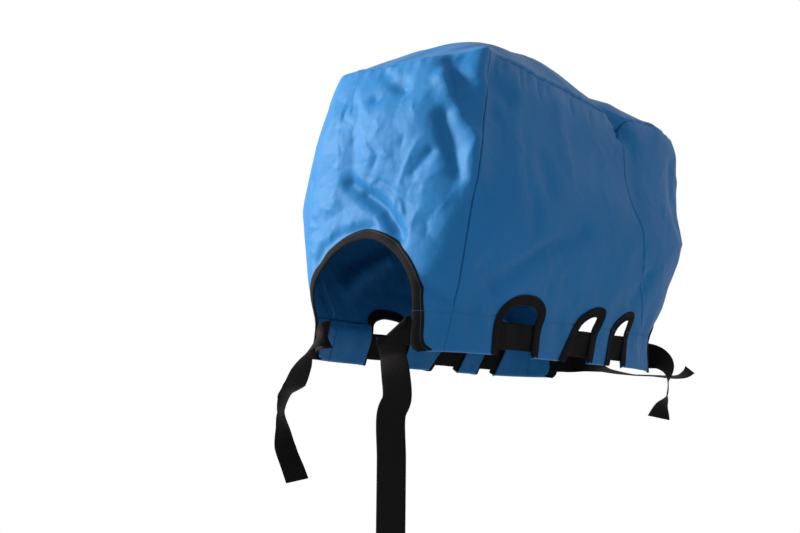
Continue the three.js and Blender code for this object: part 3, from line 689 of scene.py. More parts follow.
def flatness(base, normals):
    """How far fine creases may stand out: none where a binding holds the cloth flat."""
    share = np.ones(base.shape[:2])
    flat_base = base.reshape(-1, 3)
    for opened in cover_openings().values():
        near_side = normals @ np.array(opened["through"]) < -0.3
        distance = outline_distance(opened["outline"](0), *opened["flat"](flat_base))[0].reshape(share.shape)
        free = np.clip((distance - FLAT_BESIDE["width"]) / FLAT_BESIDE["fade"], 0, 1)
        share = np.where(near_side, np.minimum(share, free), share)
    return share * share * (3 - 2 * share)


def cloth_points(rounds, drops, offsets, crease_depth):
    """Rows of cloth: offset 0 is its outer face, and negative offsets lie inward."""
    rows = [wall_row(row, drop) for row, drop in zip(rounds, drops)]
    base = np.array([row[0] for row in rows])
    wrapped = np.array([row[1] for row in rows])
    normals = np.array([wall_normals(row, drop) for row, drop in zip(rounds, drops)])
    out = fold_depth(wrapped, base[..., 2], crease_depth * flatness(base, normals)) + offsets
    return base + normals * out[..., None], normals


def panel_points(name, crease_depth):
    """A wall panel's points and weave coordinates, row by row, with its sewn edges rolled in."""
    ends = PANEL_ENDS[name]
    start, end = ends(0.5)
    across = edge_places(end - start, PANEL_STEP[name])
    across = across / across[-1]
    tall = wall_height()
    stations = wall_stations(PANEL_STEP[name])
    rounds, shifts, sewn = [], [], []
    for drop, offset in stations:
        start, end = ends(drop)
        width = end - start - SEAM_CLEARANCE
        row = start + SEAM_CLEARANCE / 2 + across * width
        nearest = np.minimum(across, 1 - across) * width
        above = 1 / (1 + math.exp((drop - UPRIGHT_END["drop"]) / UPRIGHT_END["ease"]))
        full = max(above, UPRIGHT_END["least"])
        below = drop * tall
        puckers = gathers(below + 3 * start, nearest, *UPRIGHT_PUCKERS)
        shift = offset + roll_in(nearest, ROLL) * full + puckers * full
        shift += roll_in(below, ROLL) + gathers(row * TOP_PUCKER_SHARE, below, *WALL_PUCKERS)
        if offset == 0:
            from_stitches = (drop - 1) / DROP_PER_MM
            shift -= STITCH_GROOVE["depth"] * math.exp(-(from_stitches / STITCH_GROOVE["half_width"]) ** 2)
        rounds.append(row)
        shifts.append(shift)
        sewn.append(ALLOWANCE * full ** 2)
    points, normals = cloth_points(rounds, [drop for drop, _ in stations], shifts, crease_depth)
    sewn = np.array(sewn)[:, None, None]
    first = points[:, :1] - normals[:, :1] * sewn
    last = points[:, -1:] - normals[:, -1:] * sewn
    points = np.concatenate((first, points, last), axis=1)
    rounds = np.pad(np.array(rounds), ((0, 0), (1, 1)), "edge")
    steps = np.median(np.linalg.norm(np.diff(points, axis=0), axis=2), axis=1)
    down = np.concatenate(([0], np.cumsum(steps)))
    weave = np.dstack((rounds, np.broadcast_to(-down[:, None], rounds.shape)))
    inward = np.pad(normals[0], ((1, 1), (0, 0)), "edge")
    points = np.concatenate((points[:1] - inward * ALLOWANCE, points))
    return points, np.concatenate((weave[:1] + np.array((0, ALLOWANCE)), weave))


def sheet_mesh(name, points, weave):
    """A mesh of squares in rows and columns, put in place, with weave coordinates in metres."""
    rows, columns = points.shape[:2]
    bm = bmesh.new()
    bm.loops.layers.uv.new("weave")
    bmesh.ops.create_grid(bm, x_segments=columns - 1, y_segments=rows - 1, size=1, calc_uvs=False)
    bm.verts.ensure_lookup_table()
    if len(bm.verts) != rows * columns:
        raise RuntimeError(f"{name}: the grid has {len(bm.verts)} points, not {rows * columns}")
    layer = bm.loops.layers.uv.active
    for vert, point in zip(bm.verts, points.reshape(-1, 3)):
        vert.co = Vector(point) * MM
    places = weave.reshape(-1, 2) * MM
    for face in bm.faces:
        for loop in face.loops:
            loop[layer].uv = places[loop.vert.index]
    mesh = bpy.data.meshes.new(name)
    bm.to_mesh(mesh)
    bm.free()
    return mesh


def new_piece(name, mesh, material):
    """A smooth object of one material, in the scene."""
    mesh.materials.clear()
    mesh.materials.append(material)
    mesh.shade_smooth()
    piece = bpy.data.objects.new(name, mesh)
    bpy.context.scene.collection.objects.link(piece)
    return piece


def face_out(mesh, outward):
    """Turns a mesh's faces to the side that outward, a function of a face's centre, gives."""
    bm = bmesh.new()
    bm.from_mesh(mesh)
    votes = sum(face.normal.dot(outward(face.calc_center_median())) * face.calc_area()
                for face in bm.faces)
    if votes < 0:
        bmesh.ops.reverse_faces(bm, faces=bm.faces)
    bm.to_mesh(mesh)
    bm.free()


def applied(piece):
    """Replaces a piece's mesh by what its modifiers make of it."""
    depsgraph = bpy.context.evaluated_depsgraph_get()
    mesh = bpy.data.meshes.new_from_object(piece.evaluated_get(depsgraph))
    piece.modifiers.clear()
    old = piece.data
    mesh.name = old.name + "_cut"
    piece.data = mesh
    bpy.data.meshes.remove(old)
    piece.data.shade_smooth()


def thicken(piece, thickness):
    """Gives a sheet its thickness, inwards from its outer face."""
    wall = piece.modifiers.new("cloth", "SOLIDIFY")
    wall.thickness = thickness * MM
    wall.offset = -1
    applied(piece)


def arch_outline(arch, inset, steps=28):
    """An arch's outline, drawn in by an inset, with feet that flare at the hem."""
    left = arch["centre"] - arch["half_width"] + inset
    right = arch["centre"] + arch["half_width"] - inset
    rise = arch["top"] - arch["spring"] - inset
    bottom = STITCH_HEIGHT - HEM_DEPTH
    half_width = arch["half_width"] - inset
    left_foot, right_foot = arch["left_foot"], arch["right_foot"]
    power = 2 / arch["power"]
    points = [(left - left_foot, CUT_BOTTOM)]
    points += quadratic((left - left_foot, bottom), (left, bottom + left_foot * FOOT_EASE),
                        (left, bottom + left_foot * FOOT_HEIGHT))
    for i in range(steps + 1):
        angle = math.pi * (1 - i / steps)
        x = arch["centre"] + half_width * float(signed_power(math.cos(angle), power))
        points.append((x, arch["spring"] + rise * abs(math.sin(angle)) ** power))
    points += quadratic((right, bottom + right_foot * FOOT_HEIGHT),
                        (right, bottom + right_foot * FOOT_EASE), (right + right_foot, bottom))
    points.append((right + right_foot, CUT_BOTTOM))
    return points


def quadratic(a, b, c, steps=6):
    """A curve from a to c that leans towards b."""
    return [tuple(a[k] * (1 - t) ** 2 + 2 * b[k] * t * (1 - t) + c[k] * t * t for k in (0, 1))
            for t in (i / steps for i in range(steps + 1))]


def cubic(a, b, c, d, steps=8):
    """A curve from a to d that leaves towards b and comes from c, without its first point."""
    curve = []
    for t in (i / steps for i in range(1, steps + 1)):
        u = 1 - t
        curve.append(tuple(a[k] * u ** 3 + 3 * b[k] * t * u ** 2 + 3 * c[k] * t * t * u + d[k] * t ** 3
                           for k in (0, 1)))
    return curve


def notch_outline(notch, inset):
    """A notch's outline in the side view: a leaning slot with a rounded head."""
    foot, half_foot, waist, half_waist, head, top = notch
    wide = half_waist - inset
    crest = top - inset
    rise = crest - NOTCH_WAIST_HEIGHT
    lean = rise * (waist - foot) / (NOTCH_WAIST_HEIGHT - CUT_BOTTOM)
    shoulder = NOTCH_WAIST_HEIGHT + rise * NOTCH_ROUND
    points = [(foot - half_foot + inset, CUT_BOTTOM), (waist - wide, NOTCH_WAIST_HEIGHT)]
    points += cubic(points[-1], (waist - wide + lean * NOTCH_LEAN[0], shoulder),
                    (head - wide * NOTCH_ROUND, crest), (head, crest))
    points += cubic((head, crest), (head + wide * NOTCH_ROUND, crest),
                    (waist + wide + lean * NOTCH_LEAN[1], shoulder), (waist + wide, NOTCH_WAIST_HEIGHT))
    return points + [(foot + half_foot - inset, CUT_BOTTOM)]


def opening(panel, outline, place, flat, through):
    """An opening in a panel: its outline at an inset, as (across, height) points; the place
    beyond the wall of such a point; the reverse, for an array of places; and the way in."""
    return {"panel": panel, "outline": outline, "place": place, "flat": flat, "through": Vector(through)}


def cover_openings():
    """All openings, by the node of their binding."""
    found = {
        "aft_arch_binding": opening(
            "aft_panel", lambda inset: arch_outline(AFT_ARCH, inset),
            lambda a, h: Vector((a, -BEYOND_ENDS, h)), lambda p: (p[:, 0], p[:, 2]), (0, 1, 0)),
        "fore_arch_binding": opening(
            "fore_panel", lambda inset: arch_outline(FORE_ARCH, inset),
            lambda a, h: Vector((-a, BEYOND_ENDS, h)), lambda p: (-p[:, 0], p[:, 2]), (0, -1, 0)),
    }
    for i, notch in enumerate(NOTCHES, 1):
        for side, word in ((1, "starboard"), (-1, "port")):
            shift = 0 if side > 0 else SKEW
            found[f"{word}_notch_binding_{i}"] = opening(
                f"{word}_panel", lambda inset, notch=notch: notch_outline(notch, inset),
                lambda a, h, side=side, shift=shift: Vector((side * BEYOND_SIDES, a + shift, h)),
                lambda p, shift=shift: (p[:, 1] - shift, p[:, 2]), (-side, 0, 0))
    return found


def outline_distance(outline, a, h):
    """Signed distance from an outline, negative inside it, and the nearest point on it."""
    best = np.full(a.shape, np.inf)
    near = np.zeros((2, *a.shape))
    inside = np.zeros(a.shape, bool)
    for (ax, ay), (bx, by) in zip(outline, outline[1:] + outline[:1]):
        dx, dy = bx - ax, by - ay
        t = np.clip(((a - ax) * dx + (h - ay) * dy) / max(dx * dx + dy * dy, 1e-9), 0, 1)
        away = np.hypot(a - ax - t * dx, h - ay - t * dy)
        near = np.where(away < best, (ax + t * dx, ay + t * dy), near)
        best = np.minimum(away, best)
        if ay != by:
            crosses = (ay > h) != (by > h)
            inside ^= crosses & (a < ax + (h - ay) * dx / dy)
    return np.where(inside, -best, best), near


def cut_opening(mesh, opened, inset):
    """Cuts an opening in a sheet: what lies inside goes, and the edge left moves onto the outline."""
    outline = opened["outline"](inset)
    bm = bmesh.new()
    bm.from_mesh(mesh)
    points = np.array([v.co for v in bm.verts]) / MM
    a, h = opened["flat"](points)
    distance, near = outline_distance(outline, a, h)
    gone = [f for f in bm.faces if all(distance[v.index] < 0 for v in f.verts)]
    crossing = {v for f in set(bm.faces) - set(gone) for v in f.verts if distance[v.index] < 0}
    for vert in crossing:
        step = near[:, vert.index] - (a[vert.index], h[vert.index])
        vert.co += (opened["place"](*step) - opened["place"](0, 0) + opened["through"] * TUCK) * MM
    bmesh.ops.delete(bm, geom=gone, context="FACES")
    bm.to_mesh(mesh)
    bm.free()


@lru_cache(maxsize=None)
def wall_skins(crease_depth):
    """The uncut outer face of each wall panel, to place the bindings and stitches on."""
    skins = {}
    drops = [drop for drop, offset in wall_stations(SKIN_STEP) if offset == 0 and drop > SKIN_TOP]
    drops += SKIN_BELOW
    for name, ends in PANEL_ENDS.items():
        rounds = []
        for drop in drops:
            start, end = ends(drop)
            rounds.append(np.linspace(start - SKIN_MARGIN, end + SKIN_MARGIN, SKIN_COLUMNS))
        points = cloth_points(rounds, drops, 0.0, crease_depth)[0]
        mesh = sheet_mesh(name + "_skin", points, points[:, :, :2])
        bm = bmesh.new()
        bm.from_mesh(mesh)
        skins[name] = BVHTree.FromBMesh(bm)
        bm.free()
        bpy.data.meshes.remove(mesh)
    return skins


def resampled(points, step):
    """Points at even steps along a line."""
    points = np.array(points, float)
    walked = np.concatenate(([0], np.cumsum(np.linalg.norm(np.diff(points, axis=0), axis=1))))
    count = max(2, round(walked[-1] / step) + 1)
    at = np.linspace(0, walked[-1], count)
    return np.column_stack([np.interp(at, walked, points[:, k]) for k in range(points.shape[1])])


def smoothed(rows, times):
    """Rows evened out along their line, with both ends kept."""
    rows = np.array(rows, float)
    for _ in range(times):
        rows[1:-1] = (rows[:-2] + 2 * rows[1:-1] + rows[2:]) / 4
    return rows


def edge_frames(opened, skin, step, sides):
    """Along an opening's edge, and at distances sides into it: places on the wall, and the way
    out of the cloth."""
    bottom = STITCH_HEIGHT - HEM_DEPTH - TAPE_BELOW_HEM
    outline = [(a, h) for a, h in resampled(opened["outline"](0), 1.0) if h > bottom]
    flat = resampled(outline, step)
    heading = np.gradient(flat, axis=0)
    heading /= np.linalg.norm(heading, axis=1, keepdims=True)
    into = np.column_stack((heading[:, 1], -heading[:, 0]))
    through = np.array(opened["through"])
    places, normals = [], []
    for (a, h), (da, dh) in zip(flat, into):
        row = []
        for side in sides:
            height = h + side * dh
            # What would hang below the tape's end is drawn up to it
            height = max(height, bottom + 0.05 * (height - bottom))
            start = opened["place"](a + side * da, height) * MM
            hit, normal, _, _ = skin.ray_cast(start, opened["through"])
            if hit is None:
                raise RuntimeError(f"No cloth behind the edge at {a:.0f}, {height:.0f}")
            row.append(np.array(hit) / MM)
            out = np.array(normal)
            out *= -math.copysign(1, out @ through)
            normals.append(out)
        places.append(row)
    places = smoothed(places, 1)
    normals = smoothed(np.array(normals).reshape(places.shape), 4)
    return places, normals / np.linalg.norm(normals, axis=2, keepdims=True)


def binding_mesh(name, opened, skin):
    """A binding's tape, and its length along the opening."""
    places, normals = edge_frames(opened, skin, TAPE_STEP, [side for side, _ in TAPE_SECTION])
    heights = np.array([height for _, height in TAPE_SECTION])
    wobble = TAPE_WOBBLE["depth"] * np.sin(np.arange(len(places)) / TAPE_WOBBLE["length"])
    points = places + normals * (heights + wobble[:, None] * (heights > 0))[..., None]
    length = float(np.sum(np.linalg.norm(np.diff(places[:, 1], axis=0), axis=1)))
    along = np.linspace(0, length, len(places))
    weave = np.dstack(np.meshgrid(np.arange(len(heights)) * TAPE_COLUMN, along)[::-1])
    return sheet_mesh(name, points, weave), length


def casing_points(rounds, drop, offset):
    """Points of the wall with its main folds only, as the webbing in the casing lies."""
    base, wrapped = wall_row(rounds, drop)
    out = main_fold_depth(wrapped, base[:, 2]) + offset
    return base + wall_normals(rounds, drop) * out[:, None]


def casing_route(side):
    """The belt's rows inside the casing: middle, width and outward side, aft to fore."""
    middle_drop = sum(BELT_DROPS) / 2
    walked, points = ring(middle_drop)
    aft_edge = AFT_ARCH["half_width"] + side * AFT_ARCH["centre"] - BEHIND_TAPE
    fore_edge = FORE_ARCH["half_width"] - side * FORE_ARCH["centre"] - BEHIND_TAPE
    wide_enough = np.nonzero(points[:, 0] >= aft_edge)[0]
    start = walked[wide_enough[0]]
    end = walked[np.nonzero(points[:, 0] >= fore_edge)[0][-1]]
    rounds = side * np.linspace(start, end, CASING_STEPS)
    centre = BELT_FACE - WEB_THICKNESS / 2
    upper, lower = (casing_points(rounds, drop, centre) for drop in BELT_DROPS)
    outward = wall_normals(rounds, middle_drop)
    return [((a + b) / 2, unit(a - b), out) for a, b, out in zip(upper, lower, outward)]


def unit(vector):
    """The vector at length 1."""
    return vector / np.linalg.norm(vector)


def diagonal_fold(middle, edge, outward, travel):
    """A flat fold on the diagonal, which turns the webbing from level to hanging."""
    crease = unit(edge - travel)
    across = unit(edge + travel)
    centre = middle + travel * FOLD_LEAD
    rows = []
    for degrees in range(0, 181, FOLD_DEGREES):
        angle = math.radians(degrees)
        at = (centre - crease * FOLD_RADIUS * angle + across * FOLD_RADIUS * math.sin(angle)
              + outward * FOLD_RADIUS * (1 - math.cos(angle)))
        rows.append((at, crease * math.sqrt(2), outward * math.cos(angle) - across * math.sin(angle)))
    return rows


def route_point(points, i, t):
    """A centripetal curve through the points, between point i and the next, and its heading."""
    before = points[i - 1] if i else 2 * points[0] - points[1]
    after = points[i + 2] if i + 2 < len(points) else 2 * points[-1] - points[-2]
    a, b = points[i], points[i + 1]
    gap0, gap1, gap2 = (math.sqrt(max(np.linalg.norm(q - p), 1e-6))
                        for p, q in ((before, a), (a, b), (b, after)))
    leave = ((a - before) / gap0 - (b - before) / (gap0 + gap1) + (b - a) / gap1) * gap1
    arrive = ((b - a) / gap1 - (after - a) / (gap1 + gap2) + (after - b) / gap2) * gap1
    c2 = -3 * a + 3 * b - 2 * leave - arrive
    c3 = 2 * a - 2 * b + leave + arrive
    return a + leave * t + c2 * t * t + c3 * t ** 3, leave + 2 * c2 * t + 3 * c3 * t * t


def free_end(stations, start, width, facing):
    """Webbing led from a row along its stations, as rows of middle, width and outward side."""
    middles = [start] + [np.array(s[:3], float) for s in stations]
    widths = [unit(width)]
    for *_, heading, tilt in stations:
        h, t = math.radians(heading), math.radians(tilt)
        way = np.array((math.cos(t) * math.cos(h), math.cos(t) * math.sin(h), math.sin(t)))
        widths.append(way if way @ widths[-1] > 0 else -way)
    rows = []
    for i in range(len(middles) - 1):
        steps = max(2, round(np.linalg.norm(middles[i + 1] - middles[i]) / (2 * WEB_STEP)))
        for k in range(1, steps + 1):
            at, heading = route_point(middles, i, k / steps)
            heading = unit(heading)
            way = lerp(widths[i], widths[i + 1], k / steps)
            way = unit(way - heading * (way @ heading))
            rows.append((at, way, unit(np.cross(heading, way)) * facing))
    return rows


def belt_rows(side, aft_end, fore_end, folded):
    """The whole belt from its aft tip to its fore tip."""
    casing = casing_route(side)
    ends = []
    for stations, last, before in ((aft_end, 0, 1), (fore_end, -1, -2)):
        middle, edge, outward = casing[last]
        travel = middle - casing[before][0]
        travel = unit(travel - edge * (travel @ edge))
        facing = math.copysign(1, np.cross(travel, edge) @ outward)
        fold = diagonal_fold(middle, edge, outward, travel) if folded and stations is aft_end else []
        leave, width = fold[-1][:2] if fold else (middle, edge)
        ends.append(fold + free_end(stations, leave, width, facing))
    return ends[0][::-1] + casing + ends[1]


def belt_mesh(name, rows):
    """Webbing as a ribbon with thin selvedges: even steps along, fine cross ribs."""
    middles = np.array([r[0] for r in rows])
    walked = np.concatenate(([0], np.cumsum(np.linalg.norm(np.diff(middles, axis=0), axis=1))))
    at = np.linspace(0, walked[-1], round(walked[-1] / WEB_STEP) + 1)
    fields = []
    for values in zip(*rows):
        values = np.array(values)
        fields.append(np.column_stack([np.interp(at, walked, values[:, k]) for k in range(3)]))
    points, weave = [], []
    shares = np.sin(np.linspace(-math.pi / 2, math.pi / 2, WEB_COLUMNS)) * 0.5
    thickness = lerp(SELVEDGE, 1, 1 - (2 * np.abs(shares)) ** 8)
    for i, (middle, width, outward) in enumerate(zip(*fields)):
        out = ((WEB_THICKNESS / 2 + RIB_DEPTH * (1 if i % 2 else -1)) * thickness)[:, None] * outward
        across = middle + shares[:, None] * WEB_WIDTH * width
        loop = [*(across + out), *(across - out)[::-1]]
        points.append(loop + [loop[0]])
        weave.append([(at[i], k * WEB_COLUMN) for k in range(len(loop) + 1)])
    mesh = sheet_mesh(name, np.array(points), np.array(weave))
    bm = bmesh.new()
    bm.from_mesh(mesh)
    bmesh.ops.remove_doubles(bm, verts=bm.verts, dist=MERGE)
    bmesh.ops.holes_fill(bm, edges=[e for e in bm.edges if e.is_boundary])
    bmesh.ops.recalc_face_normals(bm, faces=bm.faces)
    bm.to_mesh(mesh)
    bm.free()
    return mesh


def crown_point(rounds, share):
    """The top panel at a share of the way out to its rim, before its seam roll."""
    rim = wall_row(rounds, 0.0)[0]
    y = rim[:, 1] * share
    seam = crown_value("seam", y) * (1 - share ** 3) + rim[:, 2] * share ** 3
    rise = crown_value("rise", y) * (1 - share ** CROWN_POWER)
    return np.column_stack((rim[:, 0] * share, y, seam + rise))


def top_panel_points(crease_depth):
    """The top panel in rings from its seam allowance to its pole."""
    half = half_round(0.0)
    rounds = np.linspace(0, 2 * half, round(2 * half / TOP_STEP) + 1)
    either_way = np.minimum(rounds, 2 * half - rounds)
    rim = wall_row(rounds, 0.0)[0]
    rim_shift = cloth_points([rounds], [0.0], 0.0, crease_depth)[0][0] - rim
    shares = [1.0, *(1 - d / RIM_SPAN for d in RIM_STEPS), *np.linspace(*TOP_MIDDLE, TOP_RINGS), 0.0]
    rows, weave = [], []
    for share in shares:
        row = crown_point(rounds, share)
        ahead = crown_point(rounds, share - 0.01 if share > 0.01 else 0.01) - row
        along = crown_point(rounds + 3, max(share, 0.02)) - crown_point(rounds - 3, max(share, 0.02))
        if share > 0.01:
            normal = np.cross(along, ahead)
            normal /= np.linalg.norm(normal, axis=1, keepdims=True)
            normal *= np.sign(normal[:, 2:3])
        else:
            normal = np.zeros_like(row) + np.array((0, 0, 1))
        x, y = row[:, 0], row[:, 1]
        away = (1 - share) * RIM_SPAN
        lift = np.full(len(row), float(roll_in(np.array(away), ROLL)))
        for a, b, half_width, most in TOP_WRINKLES:
            distance = nearest_on((a, b), x, y)[0]
            lift += crease_depth * most * np.exp(-(distance / half_width) ** 2)
        lift += gathers(either_way * TOP_PUCKER_SHARE, away, *TOP_PUCKERS)
        lift += crease_depth * facet_depth("top", x, y)
        lift += RIM_BEAD["rise"] * math.exp(-((away - RIM_BEAD["at"]) / RIM_BEAD["half_width"]) ** 2)
        swell = sum(np.sin(x / across + y / along + phase) for across, along, phase in TOP_SWELLS)
        lift += TOP_SWELL_DEPTH * share * swell
        rows.append(row + normal * lift[:, None] + rim_shift * share ** 8)
        weave.append(row[:, :2])
    inward = -rim * np.array((1, 0.4, 0))
    inward /= np.linalg.norm(inward, axis=1, keepdims=True)
    rows.insert(0, rows[0] + np.array((0, 0, -TOP_ALLOWANCE["down"])) + inward * TOP_ALLOWANCE["in"])
    weave.insert(0, weave[0])
    return np.array(rows), np.array(weave)


class Value:
    """A socket of a material's node tree. Arithmetic on it adds Math nodes."""

    def __init__(self, finish, socket):
        self.finish = finish
        self.socket = socket

    def math(self, operation, *others):
        values = dict(enumerate((self, *others)))
        return self.finish.add("ShaderNodeMath", {"operation": operation}, values)["Value"]

    def __add__(self, other):
        return self.math("ADD", other)

    __radd__ = __add__

    def __mul__(self, other):
        return self.math("MULTIPLY", other)

    __rmul__ = __mul__

    def __sub__(self, other):
        return self.math("SUBTRACT", other)

    def __rsub__(self, other):
        return self.math("MULTIPLY_ADD", -1.0, other)


class Finish:
    """A material built from a shader and the nodes that vary it."""

    def __init__(self, name, **constants):
        self.material = bpy.data.materials.new(name)
        self.material.use_nodes = True
        self.tree = self.material.node_tree
        self.shader = next(n for n in self.tree.nodes if n.type == "BSDF_PRINCIPLED")
        for socket, value in constants.items():
            self.shader.inputs[socket.replace("_", " ")].default_value = value

    def add(self, kind, options=None, sockets=None):
        """Adds a node: its settings first, then the values or links of its sockets."""
        node = self.tree.nodes.new(kind)
        for key, value in (options or {}).items():
            setattr(node, key, value)
        for key, value in (sockets or {}).items():
            self.feed(node.inputs[key], value)
        return {o.name: Value(self, o) for o in node.outputs if o.enabled}

    def feed(self, socket, value):
        """Links a socket to another, or sets its value."""
        if isinstance(value, Value):
            self.tree.links.new(value.socket, socket)
        else:
            socket.default_value = value

    def set(self, **sockets):
        """Feeds the shader's sockets, named with underscores for spaces."""
        for name, value in sockets.items():
            self.feed(self.shader.inputs[name.replace("_", " ")], value)

    def weave_axes(self):
        """The weave coordinates, in metres along and across."""
        place = self.add("ShaderNodeUVMap", {"uv_map": "weave"})["UV"]
        parts = self.add("ShaderNodeSeparateXYZ", None, {"Vector": place})
        return parts["X"], parts["Y"]

    def noise(self, vector, scale, detail=3.0):
        return self.add("ShaderNodeTexNoise", {"noise_dimensions": "3D"},
                        {"Vector": vector, "Scale": scale, "Detail": detail, "Roughness": 0.55})["Fac"]

    def colour_between(self, low, high, share):
        mixed = self.add("ShaderNodeMix", {"data_type": "RGBA"},
                         {"Factor": share, 6: (*low, 1), 7: (*high, 1)})
        return mixed["Result"]

    def bump(self, height, distance, strength=1.0):
        return self.add("ShaderNodeBump", None,
                        {"Height": height, "Distance": distance, "Strength": strength})["Normal"]


def shade(colour, factor):
    """A colour made darker or paler."""
    return tuple(min(c * factor, 1.0) for c in colour)


def cloth_finish(chosen):
    """Coated woven polyester: a fine plain weave, soft creases and a slight sheen."""
    finish = Finish("cover_cloth", Specular_IOR_Level=0.11, Specular_Tint=(0.35, 0.7, 1, 1))
    u, v = finish.weave_axes()
    solid = finish.add("ShaderNodeTexCoord")["Object"]
    turns = 2 * math.pi / chosen.weave_pitch
    warp = (u * turns).math("SINE")
    weft = (v * turns).math("SINE")
    threads = warp * weft * 0.5 + 0.5
    patches = finish.noise(solid, 9.0)
    fine = finish.noise(solid, 140.0)
    share = patches * 0.55 + fine * 0.25 + threads * 0.2
    base = tuple(chosen.cloth_colour)
    finish.set(Base_Color=finish.colour_between(shade(base, 0.80), shade(base, 1.20), share),
               Roughness=0.50 + 0.10 * fine - 0.06 * threads)
    ridge = (finish.noise(solid, 24.0, 2.0) - 0.5).math("ABSOLUTE")
    crinkle = finish.noise(solid, 80.0, 4.0)
    finish.set(Normal=finish.bump(ridge * 2.6 + crinkle * 0.5 + threads * 0.06, 0.0012, 0.8))
    return finish.material


def tape_finish(chosen):
    """Black binding tape: a close twill, dull, with paler rubbed threads."""
    finish = Finish("binding_tape", Specular_IOR_Level=0.03)
    u, v = finish.weave_axes()
    solid = finish.add("ShaderNodeTexCoord")["Object"]
    turns = 2 * math.pi / TWILL_PITCH
    twill = ((u + v) * turns).math("SINE") * 0.5 + 0.5
    fine = finish.noise(solid, 220.0)
    base = tuple(chosen.tape_colour)
    finish.set(Base_Color=finish.colour_between(shade(base, 0.7), shade(base, 1.9), twill * 0.5 + fine * 0.5),
               Roughness=0.62 + 0.2 * fine,
               Normal=finish.bump(twill * 0.7 + fine * 0.5, 0.00025, 0.6))
    return finish.material


def webbing_finish(chosen):
    """Black webbing: cross ribs, a shine on each rib and paler thread in places."""
    finish = Finish("belt_webbing", Specular_IOR_Level=0.03)
    u, v = finish.weave_axes()
    solid = finish.add("ShaderNodeTexCoord")["Object"]
    ribs = (u * (2 * math.pi / RIB_PITCH)).math("SINE") * 0.5 + 0.5
    rows = (v * (2 * math.pi / ROW_PITCH)).math("SINE") * 0.5 + 0.5
    fine = finish.noise(solid, 260.0)
    base = tuple(chosen.webbing_colour)
    share = ribs * 0.45 + rows * 0.15 + fine * 0.4
    finish.set(Base_Color=finish.colour_between(shade(base, 0.6), shade(base, 1.9), share),
               Roughness=0.62 - 0.18 * ribs + 0.15 * fine,
               Normal=finish.bump(ribs * 0.7 + rows * 0.2 + fine * 0.25, 0.0004, 0.8))
    return finish.material


def thread_finish(name, colour):
    """Sewing thread, a little uneven in colour."""
    finish = Finish(name, Roughness=0.6)
    solid = finish.add("ShaderNodeTexCoord")["Object"]
    twist = finish.noise(solid, 900.0, 2.0)
    finish.set(Base_Color=finish.colour_between(shade(colour, 0.7), shade(colour, 1.25), twist),
               Normal=finish.bump(twist, 0.0002, 0.5))
    return finish.material


class CoverSettings(bpy.types.PropertyGroup):
    """Sizes and colours of the cover that a user would change."""

    cloth_colour: FloatVectorProperty(name="Cloth", description="Colour of the cloth", subtype="COLOR",
                                      size=3, min=0, max=1, default=(0.008, 0.078, 0.210))
    tape_colour: FloatVectorProperty(name="Binding tape", description="Colour of the binding tape",
                                     subtype="COLOR", size=3, min=0, max=1, default=(0.0035, 0.0037, 0.0045))
    webbing_colour: FloatVectorProperty(name="Webbing", description="Colour of the belts", subtype="COLOR",
                                        size=3, min=0, max=1, default=(0.003, 0.003, 0.0035))
    crease_depth: FloatProperty(name="Crease depth", description="How strongly the fine creases stand out",
                                min=0, max=2, default=1.15, subtype="FACTOR")
    weave_pitch: FloatProperty(name="Weave pitch", description="Distance between threads of the cloth",
                               min=0.0002, max=0.005, default=0.0008, unit="LENGTH")
    stitch_length: FloatProperty(name="Stitch length", description="Length of one stitch of the sewing",
                                 min=0.001, max=0.01, default=0.0032, unit="LENGTH")
    floor_height: FloatProperty(name="Floor", description="Height of the studio floor",
                                min=-5, max=-0.8, default=-1.3, unit="LENGTH")
    key_power: FloatProperty(name="Key light", description="Power of the large lamp to the left",
                             min=0, max=5000, default=560, unit="POWER")


def settings():
    """The settings of the open scene."""
    return bpy.context.scene.cover_settings


def material_for(kind):
    """The named finish, made once."""
    name, maker = {
        "cloth": ("cover_cloth", cloth_finish),
        "tape": ("binding_tape", tape_finish),
        "webbing": ("belt_webbing", webbing_finish),
    }[kind]
    return bpy.data.materials.get(name) or maker(settings())


class CoverPiece:
    """What the cover's operators share: undo, and how a finished sheet is attached to the root and replaces
    its part.
    """

    bl_options = {"REGISTER", "UNDO"}

    def finish_sheet(self, piece, kind, node, flat, held, area=None, rests_on=()):
        """Attaches a finished sheet to the root body and hides the part it replaces; its flat size and how it
        is held are not used.
        """
        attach(piece, "root")
        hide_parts(node)


